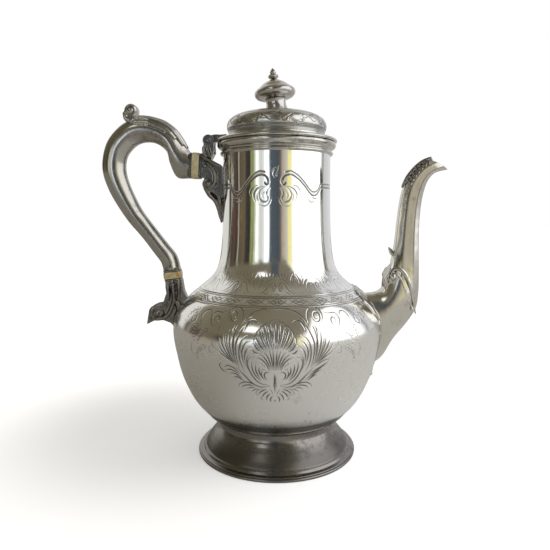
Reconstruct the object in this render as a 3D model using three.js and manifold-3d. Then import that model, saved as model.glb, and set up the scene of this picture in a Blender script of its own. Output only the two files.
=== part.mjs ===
// Silver coffee pot with a hinged lid, an ivory-insulated handle and a hollow cast spout.
// Millimetres, +Z up, origin at the centre of the foot's underside.
// The spout points along +X and the handle along -X, both in the plane y = 0.
import * as THREE from "three";
import { mergeVertices } from "three/addons/utils/BufferGeometryUtils.js";
import Module from "manifold-3d";

// ---- driving dimensions ----
const WALL = 1.1; // sheet of the body, foot and lid
const GAP = 0.3; // between pieces that meet on a cut face
const ROUND_SIDES = 36; // sides of the large turned pieces
const SMALL_SIDES = 20; // sides of pins, rods and the finial
const PROFILE_STEPS = 20; // steps along the body's curve

// Outlines of turned pieces are [radius, height].
const FOOT_TOP = 22;
const NECK_TOP = 226.2;
const BODY_CURVE = [
  [42.2, FOOT_TOP], [52.9, 32], [62.5, 44], [69.9, 60], [73.9, 76], [76.2, 92], [74.1, 104],
  [65.8, 116], [56.5, 124], [47.4, 132], [42.9, 140], [40.6, 152], [39.4, 168], [38.8, 190],
  [38.7, NECK_TOP],
];
const BODY_BASE = [[0, 18.6], [26, 19.1], [38.2, 21.2], [38.2, FOOT_TOP]];
// The body is four sheets soldered edge to edge; each goes from the height on its left to that on its right.
const BODY_SHEETS = [
  ["body_base", 0, 60], ["body_belly", 60, 116], ["body_shoulder", 116, 145], ["body_neck", 145, NECK_TOP],
];
const FOOT_OUTER = [
  [58.6, 2.4], [57.8, 3.1], [55.4, 3.3], [54.9, 4.6], [53.4, 5.6], [52.6, 7.4], [50.6, 10.6],
  [47.6, 14.4], [44.2, 17.8], [42.2, 20], [41.6, FOOT_TOP],
];
const FOOT_RIM = { outer: 59.2, inner: 54.6, height: 2.4 };
const RIM_OUTLINE = [
  [38.9, 218.4], [39.5, 218.4], [40.2, 219.2], [39.7, 220.6], [40.4, 221.8], [41.5, 222.4], [41.4, 223.6],
  [42.9, 224.3], [43.4, 225.6], [42.9, 227], [36.8, 227], [36.8, NECK_TOP + 0.1], [38.9, NECK_TOP + 0.1],
];
const LID_SEAT = 227.1; // underside of the lid's flange
const LID_FOOT = 232.3; // where the dome stands on the flange
const LID_TOP = 251;
const FLANGE_OUTLINE = [
  [33.4, LID_SEAT], [43.4, LID_SEAT], [43.5, 228.1], [42.4, 228.9], [39.6, 229.6], [36.8, 230.8],
  [35.1, LID_FOOT], [33.4, LID_FOOT],
];
const LID_CURVE = [
  [34.8, LID_FOOT], [34.7, 233.2], [34.1, 233.9], [34.8, 235], [35.6, 238.4], [35.4, 240.6], [33.9, 243.6],
  [31, 246.2], [26.5, 248.6], [20.5, 250.1], [12, 250.9], [2.6, LID_TOP],
];
const BEZEL = { outer: 36.2, inner: 35, bottom: 221.6 };

// The finial leans a little towards the handle.
const FINIAL_LEAN = THREE.MathUtils.degToRad(6);
const FINIAL_BORE = 2.1;
const ROD = { radius: 1.8, bottom: -6, top: 16.2 };
// Heights from here on are above the top of the lid, before the finial is leant.
const STEM_OUTLINE = [
  [FINIAL_BORE, -2], [11, -2], [11, -0.2], [9, 0.8], [7.6, 3], [7.2, 5.4], [8, 6.2], [7.8, 7.2], [FINIAL_BORE, 7.2],
];
const KNOB_OUTLINE = [
  [FINIAL_BORE, 7.4], [8.4, 7.4], [12.4, 8.3], [14.5, 10.4], [14.5, 12.4], [12.6, 14.6], [10.4, 15.6],
  [10, 16.2], [8, 18.4], [4.4, 20.3], [1.7, 20.9], [0, 21], [0, 17], [FINIAL_BORE, 17],
];
const TIP_OUTLINE = [
  [0, 21.2], [1.4, 21.3], [3.3, 22.3], [3.8, 23.3], [3.3, 24.2], [1.9, 24.8], [2.2, 25.4], [1.6, 26.8], [0, 29.2],
];
const WASHER = { outer: 5.4, bottom: -3, top: -2.2 };
const NUT = { across: 7, bottom: -5.2, top: -3.2 };

// Swept pieces are rows of [x and z of the outer edge, x and z of the inner edge, half depth in y].
const HANDLE_ROWS = [
  [-61.8, 220.6, -61.8, 202.4, 6.2], [-66, 226.8, -72, 203, 6.6], [-72.6, 235.4, -77.2, 212.6, 6.8],
  [-80.5, 240.6, -79.6, 221.6, 6.6], [-89.6, 243.8, -86.4, 227, 6.5], [-99.6, 244.9, -93.8, 228, 6.5],
  [-108.4, 242.6, -99.6, 226.4, 6.5], [-116, 236.9, -104.2, 222.7, 6.4], [-122.2, 229, -107.5, 218.3, 6.3],
  [-125.7, 219, -109, 212.6, 6.2], [-126.5, 208, -108.8, 206, 6.2], [-122.4, 194.2, -107, 199, 6.1],
  [-116.2, 182.6, -103.3, 189.8, 6], [-108.5, 171, -97.8, 179, 5.9], [-98.7, 159.2, -88.9, 166.8, 5.8],
  [-90, 147.4, -79.8, 154.9, 5.8], [-85.6, 141.2, -73.6, 146.6, 5.9], [-83.7, 134.5, -70.6, 136, 6],
];
const SPOUT_ROWS = [
  [52, 117, 62, 60, 14], [66, 118.5, 77.5, 69, 13.6], [76, 120.6, 87, 84, 12.8],
  [80.4, 127.2, 97.2, 96.6, 11.8], [82.3, 134, 103.7, 107.4, 10.8], [84, 139.5, 105.2, 119, 9.8],
  [85.3, 146, 105, 134, 9], [86.5, 152, 104.5, 148, 8.4], [87.4, 160, 104.2, 160, 7.9],
  [88.5, 172, 104.3, 172.6, 7.5], [89.8, 184, 105.2, 183.6, 7.2], [91.9, 194.4, 107, 193.8, 7],
  [95.4, 201.6, 110, 201.6, 7], [100.4, 208.2, 114, 205.9, 7], [105.6, 212.8, 118.6, 207.6, 6.9],
  [110.8, 215.6, 123.6, 208.6, 5.8],
];
const SPOUT_WALL = 1.3;
// The spout is three castings soldered end to end, each between two heights.
const SPOUT_CASTINGS = [["spout_root", 0, 140], ["spout_shaft", 140, 196], ["spout_beak", 196, 230]];
const STRAINER = { radius: 2, pitch: 7, rows: 5, centre: 94 };

const INSULATOR_TILT = THREE.MathUtils.degToRad(6.5);
const UPPER_INSULATOR = { x: -58.4, z: 211.4, thick: 5.2, high: 18.6, deep: 13 };
const LOWER_INSULATOR = { x: -76.9, z: 132, thick: 4.9, high: 13.2, deep: 12.4 };
const TENON = { long: 8, high: 5.6, deep: 4.4 }; // on each side of an insulator
const PIN = { radius: 1.1, length: 12.6 };

const HINGE = { x: -48.5, z: 228.6, radius: 4, knuckle: 5.4, pin: 1.5, bore: 1.58, gap: 0.35 };

// ---- outlines of the cast pieces, [x, z] ----
const UPPER_SOCKET_OUTLINE = [
  [-54.6, 220.9], [-51.6, 218], [-46, 214.6], [-37, 210.4], [-37, 171], [-39.6, 170.4], [-41.4, 173.4],
  [-42.4, 179.4], [-43.3, 184], [-45.8, 187.4], [-49.6, 190.3], [-52, 193.4], [-52.6, 197.5],
  [-53.4, 200.4], [-56.2, 202.2], [-56.2, 206],
];
const LOWER_SOCKET_OUTLINE = [
  [-82.6, 128.6], [-81.7, 122.4], [-80.9, 117.4], [-83.4, 114.2], [-83.8, 110.6], [-87, 111], [-90.6, 110.4],
  [-94, 107.6], [-94.8, 102.6], [-95.6, 98.4], [-96.8, 94.5], [-92.4, 97.2], [-86.2, 98.3], [-81, 97.8],
  [-77.6, 95.6], [-74, 94], [-60, 98], [-60, 116], [-68.4, 117], [-69.6, 121], [-69.8, 129.9],
];
const THUMB_SCROLL_OUTLINE = [
  [-106.4, 245.2], [-109.2, 248.6], [-109, 252.4], [-106.2, 255], [-102, 254.9], [-99.2, 252.2],
  [-98.4, 248.4], [-92, 246.9], [-85, 245], [-77.6, 241.5], [-71.4, 236.8], [-67.2, 231.4], [-64.6, 226.8],
  [-67, 226], [-80, 238], [-95, 242],
];
const KNEE_SCROLL_OUTLINE = [
  [77.5, 121.5], [80.6, 125.6], [80, 130.6], [80.6, 134.6], [83.2, 138.6], [84.4, 144], [82.6, 150.6],
  [86.6, 152.6], [90.6, 147], [96, 136], [99, 126], [92, 117], [84, 114],
];
const BASE_LEAF_OUTLINE = [
  [0, 124.6], [8, 123.4], [17, 122.8], [23.6, 120.4], [26.4, 114], [25.6, 107], [22, 100.6], [20.4, 92],
  [17.2, 83], [11.6, 72.6], [5.4, 64.6], [4.2, 60.6], [2.6, 58.2], [0, 57.4],
]; // [half width in y, z], mirrored across y = 0

// ---- materials ----
const silver = (color, roughness) =>
  new THREE.MeshStandardMaterial({ color, roughness, metalness: 1 });
const POLISHED = silver(0xb8b8b2, 0.14);
const SATIN = silver(0xa09e97, 0.28);
const TARNISHED = silver(0x6f6a63, 0.3);
const OXIDISED = silver(0x5d5b58, 0.35);
const BRASS = silver(0xb89b5a, 0.35);
const IVORY = new THREE.MeshStandardMaterial({ color: 0xd9cd9c, roughness: 0.45, metalness: 0 });

// ---- solids ----
const wasm = await Module();
wasm.setup();

// Turns every face the same way round, outwards.
function facingOut(geometry) {
  const merged = geometry.clone();
  merged.deleteAttribute("normal");
  merged.deleteAttribute("uv");
  const closed = mergeVertices(merged, 1e-4);
  const position = closed.attributes.position;
  const corner = [0, 1, 2].map(() => new THREE.Vector3());
  const index = closed.index.array;
  let volume = 0;
  for (let i = 0; i < index.length; i += 3) {
    corner.forEach((c, k) => c.fromBufferAttribute(position, index[i + k]));
    volume += corner[0].dot(corner[1].clone().cross(corner[2]));
  }
  if (volume < 0) {
    for (let i = 0; i < index.length; i += 3) {
      [index[i + 1], index[i + 2]] = [index[i + 2], index[i + 1]];
    }
  }
  return closed;
}

function solidOf(geometry) {
  const closed = facingOut(geometry);
  return new wasm.Manifold(
    new wasm.Mesh({
      numProp: 3,
      vertProperties: closed.attributes.position.array,
      triVerts: new Uint32Array(closed.index.array),
    }),
  );
}

function geometryOf(solid) {
  const shape = solid.getMesh();
  const geometry = new THREE.BufferGeometry();
  geometry.setAttribute("position", new THREE.BufferAttribute(shape.vertProperties, 3));
  geometry.setIndex(new THREE.BufferAttribute(shape.triVerts, 1));
  return geometry;
}

const cut = (geometry, ...tools) =>
  geometryOf(tools.reduce((solid, tool) => solid.subtract(solidOf(tool)), solidOf(geometry)));
const join = (geometry, ...others) =>
  geometryOf(others.reduce((solid, other) => solid.add(solidOf(other)), solidOf(geometry)));
const common = (a, b) => geometryOf(solidOf(a).intersect(solidOf(b)));

// A body of revolution about Z from a closed outline, or one that ends on the axis.
function turned(outline, sides = ROUND_SIDES) {
  const points = outline.map(([r, z]) => new THREE.Vector2(r, z));
  if (outline[0][0] > 0 || outline.at(-1)[0] > 0) points.push(points[0].clone());
  return facingOut(new THREE.LatheGeometry(points, sides).rotateX(Math.PI / 2));
}

const ring = ({ outer, inner, bottom, top }, sides) =>
  turned([[inner, bottom], [outer, bottom], [outer, top], [inner, top]], sides);

// A smooth curve through outline points, in equal steps.
function smooth(outline, steps) {
  const curve = new THREE.SplineCurve(outline.map(([a, b]) => new THREE.Vector2(a, b)));
  return curve.getSpacedPoints(steps).map((p) => [p.x, p.y]);
}

// The outline moved sideways by a distance, to the right of its direction.
function offset(outline, distance) {
  return outline.map((point, i) => {
    const before = outline[Math.max(i - 1, 0)];
    const after = outline[Math.min(i + 1, outline.length - 1)];
    const along = new THREE.Vector2(after[0] - before[0], after[1] - before[1]).normalize();
    return [point[0] + along.y * distance, point[1] - along.x * distance];
  });
}

// A plate of a given outline in x and z, as deep as 2 * halfDepth in y, with a small bevel.
function plate(outline, halfDepth, bevel = 0.8) {
  const shape = new THREE.Shape(outline.map(([x, z]) => new THREE.Vector2(x, z)));
  const geometry = new THREE.ExtrudeGeometry(shape, {
    depth: 2 * (halfDepth - bevel),
    bevelEnabled: bevel > 0,
    bevelThickness: bevel,
    bevelSize: bevel,
    bevelOffset: -bevel,
    bevelSegments: 1,
  });
  return geometry.rotateX(Math.PI / 2).translate(0, halfDepth - bevel, 0);
}

// Closes a stack of rings, each a loop of the same number of points, into one skin.
function loft(rings) {
  const sides = rings[0].length;
  const points = rings.flat();
  const centre = (loop) =>
    loop.reduce((sum, p) => sum.add(p), new THREE.Vector3()).divideScalar(sides);
  points.push(centre(rings[0]), centre(rings.at(-1)));
  const first = points.length - 2;
  const last = points.length - 1;
  const top = (rings.length - 1) * sides;
  const index = [];
  for (let i = 0; i < sides; i++) {
    const next = (i + 1) % sides;
    for (let k = 0; k < rings.length - 1; k++) {
      const a = k * sides + i;
      const b = k * sides + next;
      index.push(a, b, b + sides, a, b + sides, a + sides);
    }
    index.push(first, next, i, last, top + i, top + next);
  }
  const geometry = new THREE.BufferGeometry().setFromPoints(points);
  geometry.setIndex(index);
  return facingOut(geometry);
}

// A sweep through rows of outer edge, inner edge and half depth. Its section is a rounded
// lozenge; grow makes it larger all round.
function sweep(rows, { steps, sides = 12, square = 0.75, grow = 0 }) {
  const edge = (a, b) =>
    new THREE.CatmullRomCurve3(
      rows.map((row) => new THREE.Vector3(row[a], 0, row[b])),
      false,
      "centripetal",
    );
  const outer = edge(0, 1);
  const inner = edge(2, 3);
  const rings = [];
  for (let k = 0; k <= steps; k++) {
    const t = k / steps;
    const row = t * (rows.length - 1);
    const low = Math.min(Math.floor(row), rows.length - 2);
    const depth = THREE.MathUtils.lerp(rows[low][4], rows[low + 1][4], row - low) + grow;
    const a = outer.getPoint(t);
    const b = inner.getPoint(t);
    const middle = a.clone().add(b).divideScalar(2);
    const across = a.clone().sub(b);
    const half = across.length() / 2 + grow;
    across.normalize();
    const loop = [];
    for (let i = 0; i < sides; i++) {
      const angle = ((i + 0.5) / sides) * 2 * Math.PI;
      const round = (value) => Math.sign(value) * Math.abs(value) ** square;
      loop.push(
        middle
          .clone()
          .addScaledVector(across, half * round(Math.cos(angle)))
          .setY(depth * round(Math.sin(angle))),
      );
    }
    rings.push(loop);
  }
  return loft(rings);
}

// A round bar of a given length along Y, centred on y = 0.
const crossBar = (radius, length, x, z, sides = SMALL_SIDES) =>
  new THREE.CylinderGeometry(radius, radius, length, sides).translate(x, 0, z);

const box = (sizeX, sizeY, sizeZ) => new THREE.BoxGeometry(sizeX, sizeY, sizeZ);

// ---- the pot's parts ----
const pot = new THREE.Group();

function add(name, geometry, material, group = pot) {
  const piece = new THREE.Mesh(geometry, material);
  piece.name = name;
  geometry.computeVertexNormals();
  group.add(piece);
}

const bodyOuter = smooth(BODY_CURVE, PROFILE_STEPS);
const bodyInner = offset(bodyOuter, -WALL).filter(([, z]) => z > FOOT_TOP + 1);
bodyInner.push([bodyInner.at(-1)[0], NECK_TOP]);

// The space that the body fills, grown outwards: it trims what is fixed to the body.
const bodySpace = (grow) =>
  turned([[0, 0], [42 + grow, 0], ...offset(bodyOuter, grow), [38.7 + grow, 260], [0, 260]]);

function strainerHoles() {
  const holes = [];
  for (let row = 0; row < STRAINER.rows; row++) {
    const across = row % 2 ? 2 : 3;
    for (let i = 0; i < across; i++) {
      const hole = new THREE.CylinderGeometry(STRAINER.radius, STRAINER.radius, 30, 8);
      hole.rotateZ(Math.PI / 2);
      hole.translate(
        72,
        (i - (across - 1) / 2) * STRAINER.pitch,
        STRAINER.centre + (row - (STRAINER.rows - 1) / 2) * STRAINER.pitch * 0.86,
      );
      holes.push(hole);
    }
  }
  return holes;
}

function bodySkin() {
  const inner = bodyInner.toReversed();
  const skin = turned([...BODY_BASE, ...bodyOuter, ...inner, [34, 22.6], [0, 20.2]]);
  return cut(skin, ...strainerHoles());
}

const between = (geometry, bottom, top) =>
  common(geometry, box(300, 300, top - bottom).translate(0, 0, (bottom + top) / 2));

function footShell() {
  const underside = offset(FOOT_OUTER, -WALL).filter(([, z]) => z > FOOT_RIM.height + 1);
  const inner = underside.toReversed().slice(1);
  return turned([...FOOT_OUTER, [38.8, FOOT_TOP], ...inner, [FOOT_RIM.inner, FOOT_RIM.height]]);
}

const skin = bodySkin();
for (const [name, bottom, top] of BODY_SHEETS) add(name, between(skin, bottom, top), SATIN);
add("foot_shell", footShell(), TARNISHED);
add("foot_rim_wire", ring({ ...FOOT_RIM, bottom: 0, top: FOOT_RIM.height }), TARNISHED);
add("rim_moulding", turned(RIM_OUTLINE), POLISHED);

// ---- the spout ----
const SPOUT_SHAPE = { steps: 26, sides: 12, square: 0.85 };
const spoutSpace = (grow) => sweep(SPOUT_ROWS, { ...SPOUT_SHAPE, grow });

function spoutTube() {
  const last = SPOUT_ROWS.at(-1);
  const beyond = [last[0] + 4, last[1] + 5, last[2] + 4, last[3] + 5, last[4]];
  const bore = sweep([...SPOUT_ROWS, beyond], { ...SPOUT_SHAPE, steps: 28, grow: -SPOUT_WALL });
  return cut(spoutSpace(0), bore, bodySpace(GAP));
}

function spoutBaseLeaf() {
  const mirrored = BASE_LEAF_OUTLINE.slice(1, -1).map(([y, z]) => [-y, z]).reverse();
  const outline = plate([...BASE_LEAF_OUTLINE, ...mirrored], 25, 0);
  outline.rotateZ(Math.PI / 2).translate(65, 0, 0);
  return cut(common(bodySpace(2.6), outline), bodySpace(GAP), spoutSpace(GAP));
}

function spoutTipLeaf() {
  const cap = plate(
    [[86, 196], [90.4, 196.2], [98.6, 202.6], [106, 208.4], [109.4, 211.4], [109.8, 222], [84, 222]], 12, 0,
  );
  return cut(common(spoutSpace(1.6), cap), spoutSpace(GAP));
}

const tube = spoutTube();
for (const [name, bottom, top] of SPOUT_CASTINGS) add(name, between(tube, bottom, top), POLISHED);
add("spout_base_leaf", spoutBaseLeaf(), OXIDISED);
add("spout_knee_scroll", cut(plate(KNEE_SCROLL_OUTLINE, 4), spoutSpace(GAP), bodySpace(3)), OXIDISED);
add("spout_tip_leaf", spoutTipLeaf(), OXIDISED);

// ---- the handle, its sockets and the ivory insulators ----
// Places a piece on an insulator's own axes; the upper one runs along X, the lower along Z.
const onUpper = (geometry) =>
  geometry.rotateY(INSULATOR_TILT / 2).translate(UPPER_INSULATOR.x, 0, UPPER_INSULATOR.z);
const onLower = (geometry) =>
  geometry.rotateY(Math.PI / 2 - INSULATOR_TILT).translate(LOWER_INSULATOR.x, 0, LOWER_INSULATOR.z);

function insulator({ thick, high, deep }) {
  const outline = [
    [-0.5, 0.36], [-0.36, 0.5], [0.36, 0.5], [0.5, 0.36], [0.5, -0.36], [0.36, -0.5], [-0.36, -0.5], [-0.5, -0.36],
  ].map(([y, z]) => [y * deep, z * high]);
  const block = plate(outline, thick / 2, 0.5).rotateZ(Math.PI / 2);
  return join(block, box(thick + 2 * TENON.long, TENON.deep, TENON.high));
}

// What the handle and the sockets leave free for an insulator: its block, its tenons and two pins.
function insulatorRoom({ thick, high, deep }) {
  const slack = 2 * GAP;
  const block = box(thick + slack, deep + 20, high + 20);
  return join(block, box(thick + 2 * TENON.long + slack, TENON.deep + slack, TENON.high + slack));
}

const pinOffset = ({ thick }) => thick / 2 + TENON.long * 0.55;
const pinBar = (radius, at) => new THREE.CylinderGeometry(radius, radius, PIN.length, 10).translate(at, 0, 0);

function fitted(geometry, place, size) {
  const holes = [-1, 1].map((side) => place(pinBar(PIN.radius + GAP, side * pinOffset(size))));
  return cut(geometry, place(insulatorRoom(size)), ...holes);
}

function fittedInsulator(place, size) {
  const holes = [-1, 1].map((side) => place(pinBar(PIN.radius + GAP, side * pinOffset(size))));
  return cut(place(insulator(size)), ...holes);
}

const handleSpace = (grow) => sweep(HANDLE_ROWS, { steps: 30, sides: 10, grow });
const handle = fitted(handleSpace(0), onUpper, UPPER_INSULATOR);
add("handle", fitted(handle, onLower, LOWER_INSULATOR), SATIN);
add("handle_thumb_scroll", cut(plate(THUMB_SCROLL_OUTLINE, 4.5), handleSpace(GAP)), OXIDISED);

const upperSocket = cut(plate(UPPER_SOCKET_OUTLINE, 6.4), bodySpace(GAP));
const lowerSocket = cut(plate(LOWER_SOCKET_OUTLINE, 6.2), bodySpace(GAP));
add("upper_handle_socket", fitted(upperSocket, onUpper, UPPER_INSULATOR), OXIDISED);
add("lower_handle_socket", fitted(lowerSocket, onLower, LOWER_INSULATOR), OXIDISED);
add("upper_insulator", fittedInsulator(onUpper, UPPER_INSULATOR), IVORY);
add("lower_insulator", fittedInsulator(onLower, LOWER_INSULATOR), IVORY);
for (const [level, place, size] of [["upper", onUpper, UPPER_INSULATOR], ["lower", onLower, LOWER_INSULATOR]]) {
  add(level + "_handle_pin", place(pinBar(PIN.radius, -pinOffset(size))), OXIDISED);
  add(level + "_socket_pin", place(pinBar(PIN.radius, pinOffset(size))), OXIDISED);
}

// ---- the hinge ----
const knuckle = (length, y) =>
  crossBar(HINGE.radius, length, HINGE.x, HINGE.z).translate(0, y, 0);
const hingeBore = (length) => crossBar(HINGE.bore, length, HINGE.x, HINGE.z);
const sideKnuckleY = HINGE.knuckle + HINGE.gap;

function hingeBracket() {
  const strut = plate(
    [[-52.3, 228], [-51.9, 222.4], [-51.6, 218.6], [-47, 215.7], [-44.6, 221], [-44.4, 228]],
    1.5 * HINGE.knuckle + HINGE.gap,
    0.5,
  );
  const ears = join(strut, knuckle(HINGE.knuckle, sideKnuckleY), knuckle(HINGE.knuckle, -sideKnuckleY));
  const swing = crossBar(HINGE.radius + 0.6, HINGE.knuckle + 2 * HINGE.gap, HINGE.x, HINGE.z);
  const open = box(4, HINGE.knuckle + 2 * HINGE.gap, 8).translate(HINGE.x + 4, 0, HINGE.z + 0.5);
  return cut(ears, swing, open, hingeBore(40));
}

function lidHingeArm() {
  const arm = plate(
    [[-49.5, 232.4], [-42, 232.9], [-37, 232.9], [-32, 232.9], [-32, 227.8], [-41, 227.8], [-44.4, 226.9], [-48, 226]],
    HINGE.knuckle / 2,
    0.4,
  );
  const joined = join(arm, knuckle(HINGE.knuckle, 0));
  const lidSpace = turned([[0, 220], ...offset(FLANGE_OUTLINE.slice(1, -1), GAP), ...offset(LID_CURVE, GAP), [0, 252]]);
  return cut(joined, lidSpace, hingeBore(40));
}

const hingeSeat = plate(UPPER_SOCKET_OUTLINE.map(([x, z]) => [x, z + GAP]), 20, 0);
add("hinge_bracket", cut(hingeBracket(), hingeSeat), OXIDISED);
add("hinge_pin", crossBar(HINGE.pin, 3 * HINGE.knuckle + 2 * HINGE.gap + 1.6, HINGE.x, HINGE.z), OXIDISED);

// ---- the lid ----
const lid = new THREE.Group();
pot.add(lid);

function lidCover() {
  const inner = offset(LID_CURVE, -WALL).slice(1).toReversed();
  inner[0] = [3, LID_TOP - WALL];
  inner.push([LID_CURVE[0][0] - WALL, LID_FOOT]);
  return turned([...LID_CURVE.slice(0, -1), [3, LID_TOP], ...inner]);
}

add("lid_cover", lidCover(), SATIN, lid);
add("lid_flange", turned(FLANGE_OUTLINE), POLISHED, lid);
add("lid_bezel", ring({ ...BEZEL, top: LID_SEAT }), SATIN, lid);
add("lid_hinge_arm", lidHingeArm(), OXIDISED, lid);

const finial = new THREE.Group();
finial.position.z = LID_TOP;
finial.rotation.y = -FINIAL_LEAN;
lid.add(finial);

function finialStem() {
  const lidTop = box(60, 60, 20).rotateY(FINIAL_LEAN).translate(0, 0, -10 + GAP);
  return cut(turned(STEM_OUTLINE, SMALL_SIDES), lidTop);
}

const nut = new THREE.CylinderGeometry(NUT.across / 2, NUT.across / 2, NUT.top - NUT.bottom, 6);
nut.rotateX(Math.PI / 2).translate(0, 0, (NUT.top + NUT.bottom) / 2);
const nutBore = new THREE.CylinderGeometry(FINIAL_BORE, FINIAL_BORE, 20, SMALL_SIDES).rotateX(Math.PI / 2);
const rod = new THREE.CylinderGeometry(ROD.radius, ROD.radius, ROD.top - ROD.bottom, SMALL_SIDES);
rod.rotateX(Math.PI / 2).translate(0, 0, (ROD.top + ROD.bottom) / 2);

add("finial_stem", finialStem(), TARNISHED, finial);
add("finial_knob", turned(KNOB_OUTLINE, SMALL_SIDES), TARNISHED, finial);
add("finial_tip", turned(TIP_OUTLINE, SMALL_SIDES), TARNISHED, finial);
add("finial_rod", rod, BRASS, finial);
add("finial_washer", ring({ ...WASHER, inner: FINIAL_BORE }, SMALL_SIDES), BRASS, finial);
add("finial_nut", cut(nut, nutBore), BRASS, finial);

export default pot;
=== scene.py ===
"""Looks of the silver coffee pot: fine meshes, engraving, materials, camera, floor and light.

Shapes are written in millimetres and turned into metres where a mesh is made.
"""
import math

import bmesh
import bpy
import numpy as np
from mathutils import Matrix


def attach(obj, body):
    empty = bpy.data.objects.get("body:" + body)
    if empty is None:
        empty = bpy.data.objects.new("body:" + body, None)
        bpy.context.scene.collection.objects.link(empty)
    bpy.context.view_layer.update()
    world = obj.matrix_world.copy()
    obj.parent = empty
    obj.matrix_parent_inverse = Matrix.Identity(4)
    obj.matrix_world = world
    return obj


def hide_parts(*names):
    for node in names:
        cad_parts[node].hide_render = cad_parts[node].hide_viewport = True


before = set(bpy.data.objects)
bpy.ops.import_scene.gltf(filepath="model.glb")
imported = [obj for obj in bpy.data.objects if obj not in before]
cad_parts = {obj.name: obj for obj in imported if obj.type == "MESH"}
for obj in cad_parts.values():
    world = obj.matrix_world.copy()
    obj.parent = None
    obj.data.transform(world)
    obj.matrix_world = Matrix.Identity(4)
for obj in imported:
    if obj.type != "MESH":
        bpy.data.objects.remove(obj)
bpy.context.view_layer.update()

MM = 0.001


# ---------------------------------------------------------------- curves and numbers
def catmull(points, steps):
    """A uniform Catmull-Rom curve through the points, with the given steps to each span."""
    p = np.asarray(points, float)
    p = np.vstack([2 * p[0] - p[1], p, 2 * p[-1] - p[-2]])
    t = np.linspace(0, 1, steps, endpoint=False)[:, None]
    spans = []
    for a, b, c, d in zip(p[:-3], p[1:-2], p[2:-1], p[3:]):
        spans.append(0.5 * (2 * b + (c - a) * t + (2 * a - 5 * b + 4 * c - d) * t**2
                            + (3 * b - a - 3 * c + d) * t**3))
    return np.vstack([*spans, p[-2]])


def centripetal(points, count):
    """A centripetal Catmull-Rom curve, evenly spaced in its own parameter."""
    p = np.asarray(points, float)
    p = np.vstack([2 * p[0] - p[1], p, 2 * p[-1] - p[-2]])
    at = np.linspace(0, len(p) - 3, count)
    span = np.minimum(at.astype(int), len(p) - 4)
    w = (at - span)[:, None]
    a, b, c, d = [p[span + k] for k in range(4)]
    ab, bc, cd = [np.maximum(np.linalg.norm(q - o, axis=1), 1e-6)[:, None] ** 0.5
                  for o, q in ((a, b), (b, c), (c, d))]
    m1 = ((b - a) / ab - (c - a) / (ab + bc) + (c - b) / bc) * bc
    m2 = ((c - b) / bc - (d - b) / (bc + cd) + (d - c) / cd) * bc
    return b + m1 * w + (-3 * b + 3 * c - 2 * m1 - m2) * w**2 + (2 * b - 2 * c + m1 + m2) * w**3


def run_along(points):
    """Distance of each point of a polyline from its start."""
    return np.concatenate([[0], np.cumsum(np.linalg.norm(np.diff(points, axis=0), axis=1))])


def directions(line):
    """Unit vectors along a polyline, one at each point."""
    way = np.gradient(line, axis=0)
    return way / np.linalg.norm(way, axis=1)[:, None]


def even(points, count):
    """The same polyline with count points at equal distances."""
    p = np.asarray(points, float)
    run = run_along(p)
    at = np.linspace(0, run[-1], count)
    return np.column_stack([np.interp(at, run, p[:, k]) for k in range(p.shape[1])])


def curve(points, count):
    """A smooth curve through the points, as count points at equal distances."""
    return even(catmull(points, 12), count)


def filleted(points, radius, steps=3, closed=True):
    """A polyline whose corners are rounded by up to the given radius."""
    p = [np.asarray(q, float) for q in points]
    out = []
    for i, here in enumerate(p):
        if not closed and i in (0, len(p) - 1):
            out.append(here)
            continue
        to_last = p[i - 1] - here
        to_next = p[(i + 1) % len(p)] - here
        reach = min(radius, 0.42 * np.linalg.norm(to_last), 0.42 * np.linalg.norm(to_next))
        a = here + to_last / np.linalg.norm(to_last) * reach
        b = here + to_next / np.linalg.norm(to_next) * reach
        for t in np.linspace(0, 1, steps + 1):
            out.append((1 - t) ** 2 * a + 2 * t * (1 - t) * here + t**2 * b)
    return np.array(out)


def ramp(low, high, value):
    """0 at low, 1 at high and eased between them; high may be the smaller."""
    t = np.clip((value - low) / (high - low), 0, 1)
    return t * t * (3 - 2 * t)


def squarish(value, power):
    """Turns the cosine or sine of a circle into that of a squarer (power below 1) or rounder outline."""
    return np.sign(value) * np.abs(value) ** power


def on_disc(sides):
    """Angles at equal steps round a full turn."""
    return np.linspace(0, 2 * np.pi, sides, endpoint=False)


def distance_to(path, x, z):
    """Distance of each (x, z) to a polyline, and how far along it the nearest point lies, 0 to 1."""
    p = np.asarray(path, float)
    best = np.full(np.shape(x), 1e9)
    where = np.zeros(np.shape(x))
    for k, (a, b) in enumerate(zip(p[:-1], p[1:])):
        way = b - a
        t = np.clip(((x - a[0]) * way[0] + (z - a[1]) * way[1]) / max(way.dot(way), 1e-9), 0, 1)
        gap = np.hypot(x - a[0] - t * way[0], z - a[1] - t * way[1])
        near = gap < best
        best = np.where(near, gap, best)
        where = np.where(near, (k + t) / (len(p) - 1), where)
    return best, where


# ---------------------------------------------------------------- meshes
def link(name, mesh):
    """An object of the scene that shows a mesh."""
    obj = bpy.data.objects.new(name, mesh)
    bpy.context.scene.collection.objects.link(obj)
    return obj


def make_object(name, verts, faces, crease=38):
    """An object from points in mm, shaded smooth apart from edges sharper than crease degrees."""
    mesh = bpy.data.meshes.new(name)
    mesh.from_pydata((np.asarray(verts, float) * MM).tolist(), [], [list(map(int, f)) for f in faces])
    mesh.validate()
    mesh.shade_smooth()
    if crease:
        mesh.set_sharp_from_angle(angle=math.radians(crease))
    return link(name, mesh)


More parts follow.
